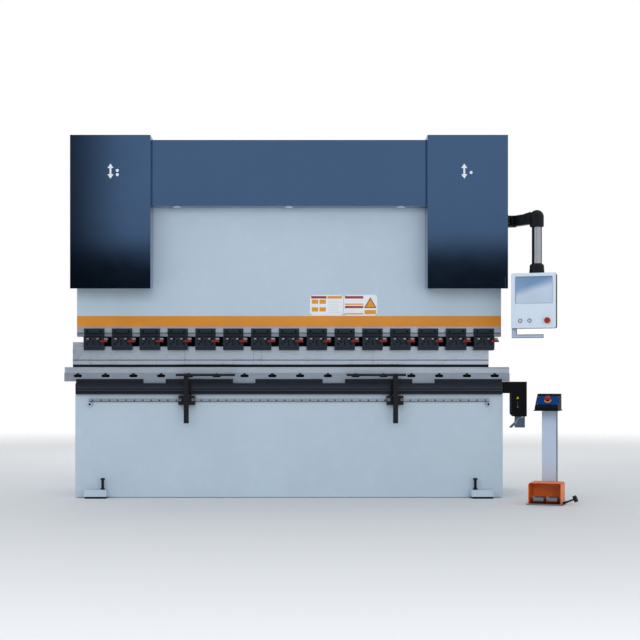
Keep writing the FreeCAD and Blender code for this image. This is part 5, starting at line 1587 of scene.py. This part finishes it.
def backdrop():
    """White behind the machine; light and reflections come from a studio with dark low and left parts."""
    world = bpy.data.worlds.new("studio")
    bpy.context.scene.world = world
    sky = Nodes(world)
    direction = sky.add("ShaderNodeTexCoord").outputs["Generated"]
    split = sky.add("ShaderNodeSeparateXYZ", {"Vector": direction}).outputs
    dark_band, dark, bright = (1.8, 3.2, 6.1, 6.8), 0.01, 0.68
    heights = [math.sin(math.radians(degrees)) for degrees in dark_band]
    above = sky.span(split["Z"], heights[2], heights[3])
    below = sky.span(split["Z"], heights[1], heights[0])
    ahead = sky.math("MAXIMUM", sky.math("MULTIPLY", split["Y"], -1.0), 0.02)
    across = sky.math("DIVIDE", split["X"], ahead)
    beside_flag = sky.math("MAXIMUM", sky.span(across, -0.172, -0.132), sky.span(across, -0.45, -0.6))
    open_sky = sky.math("MULTIPLY", sky.math("MAXIMUM", above, below), sky.span(beside_flag, 0.0, 1.0, 0.08))
    strength = sky.span(open_sky, 0.0, 1.0, dark, bright)
    studio = sky.add("ShaderNodeBackground", {"Color": (0.95, 0.98, 1.0, 1), "Strength": strength})
    white = sky.add("ShaderNodeBackground", {"Color": (1, 1, 1, 1)})
    mix = sky.add("ShaderNodeMixShader")
    sky.wire(sky.add("ShaderNodeLightPath").outputs["Is Camera Ray"], mix.inputs[0])
    sky.wire(studio.outputs[0], mix.inputs[1])
    sky.wire(white.outputs[0], mix.inputs[2])
    sky.wire(mix.outputs[0], sky.add("ShaderNodeOutputWorld").inputs[0])


def soft_light(name, point, aim, wide, high, power):
    """A large soft panel that looks at a point."""
    data = bpy.data.lights.new(name, "AREA")
    data.shape = "RECTANGLE"
    data.size, data.size_y = wide, high
    data.energy = power
    item = bpy.data.objects.new(name, data)
    item.location = point
    item.rotation_euler = (Vector(aim) - Vector(point)).to_track_quat("-Z", "Y").to_euler()
    item.visible_glossy = False
    bpy.context.scene.collection.objects.link(item)


def lights():
    """A key light over the left shoulder, a weaker fill low on the right and one behind."""
    centre = (CAD_BOX[0] + CAD_BOX[1]) / 2
    soft_light("key", (-1.8, -8.2, 3.6), centre, 6.0, 3.0, 150)
    soft_light("fill", (2.8, -8.2, 1.6), centre, 4.0, 2.0, 75)
    soft_light("rear", (0.0, 6.0, 4.5), centre, 6.0, 3.0, 130)


def camera():
    """The camera stands in front of the machine at chest height and looks level along +Y."""
    data = bpy.data.cameras.new("camera")
    data.lens = 70.4
    data.sensor_width = 36.0
    data.shift_x, data.shift_y = 0.0484, 0.109
    item = bpy.data.objects.new("camera", data)
    item.location = (0.0, -9.605, 0.776)
    item.rotation_euler = (math.pi / 2, 0.0, 0.0)
    bpy.context.scene.collection.objects.link(item)
    bpy.context.scene.camera = item
    bpy.context.scene.view_settings.view_transform = "Standard"


dress_cad_nodes()
ram_front()
clamps()
die_clamps()
table_rail_details()
front_rail_details()
supports()
feet()
crowning_details()
covers()
cylinder_details()
hydraulics()
back_gauge()
rear_guard()
frame_details()
cabinet_door()
cabinet_inside()
pendant_arm()
control_box()
pedestal()
stage()
backdrop()
lights()
camera()
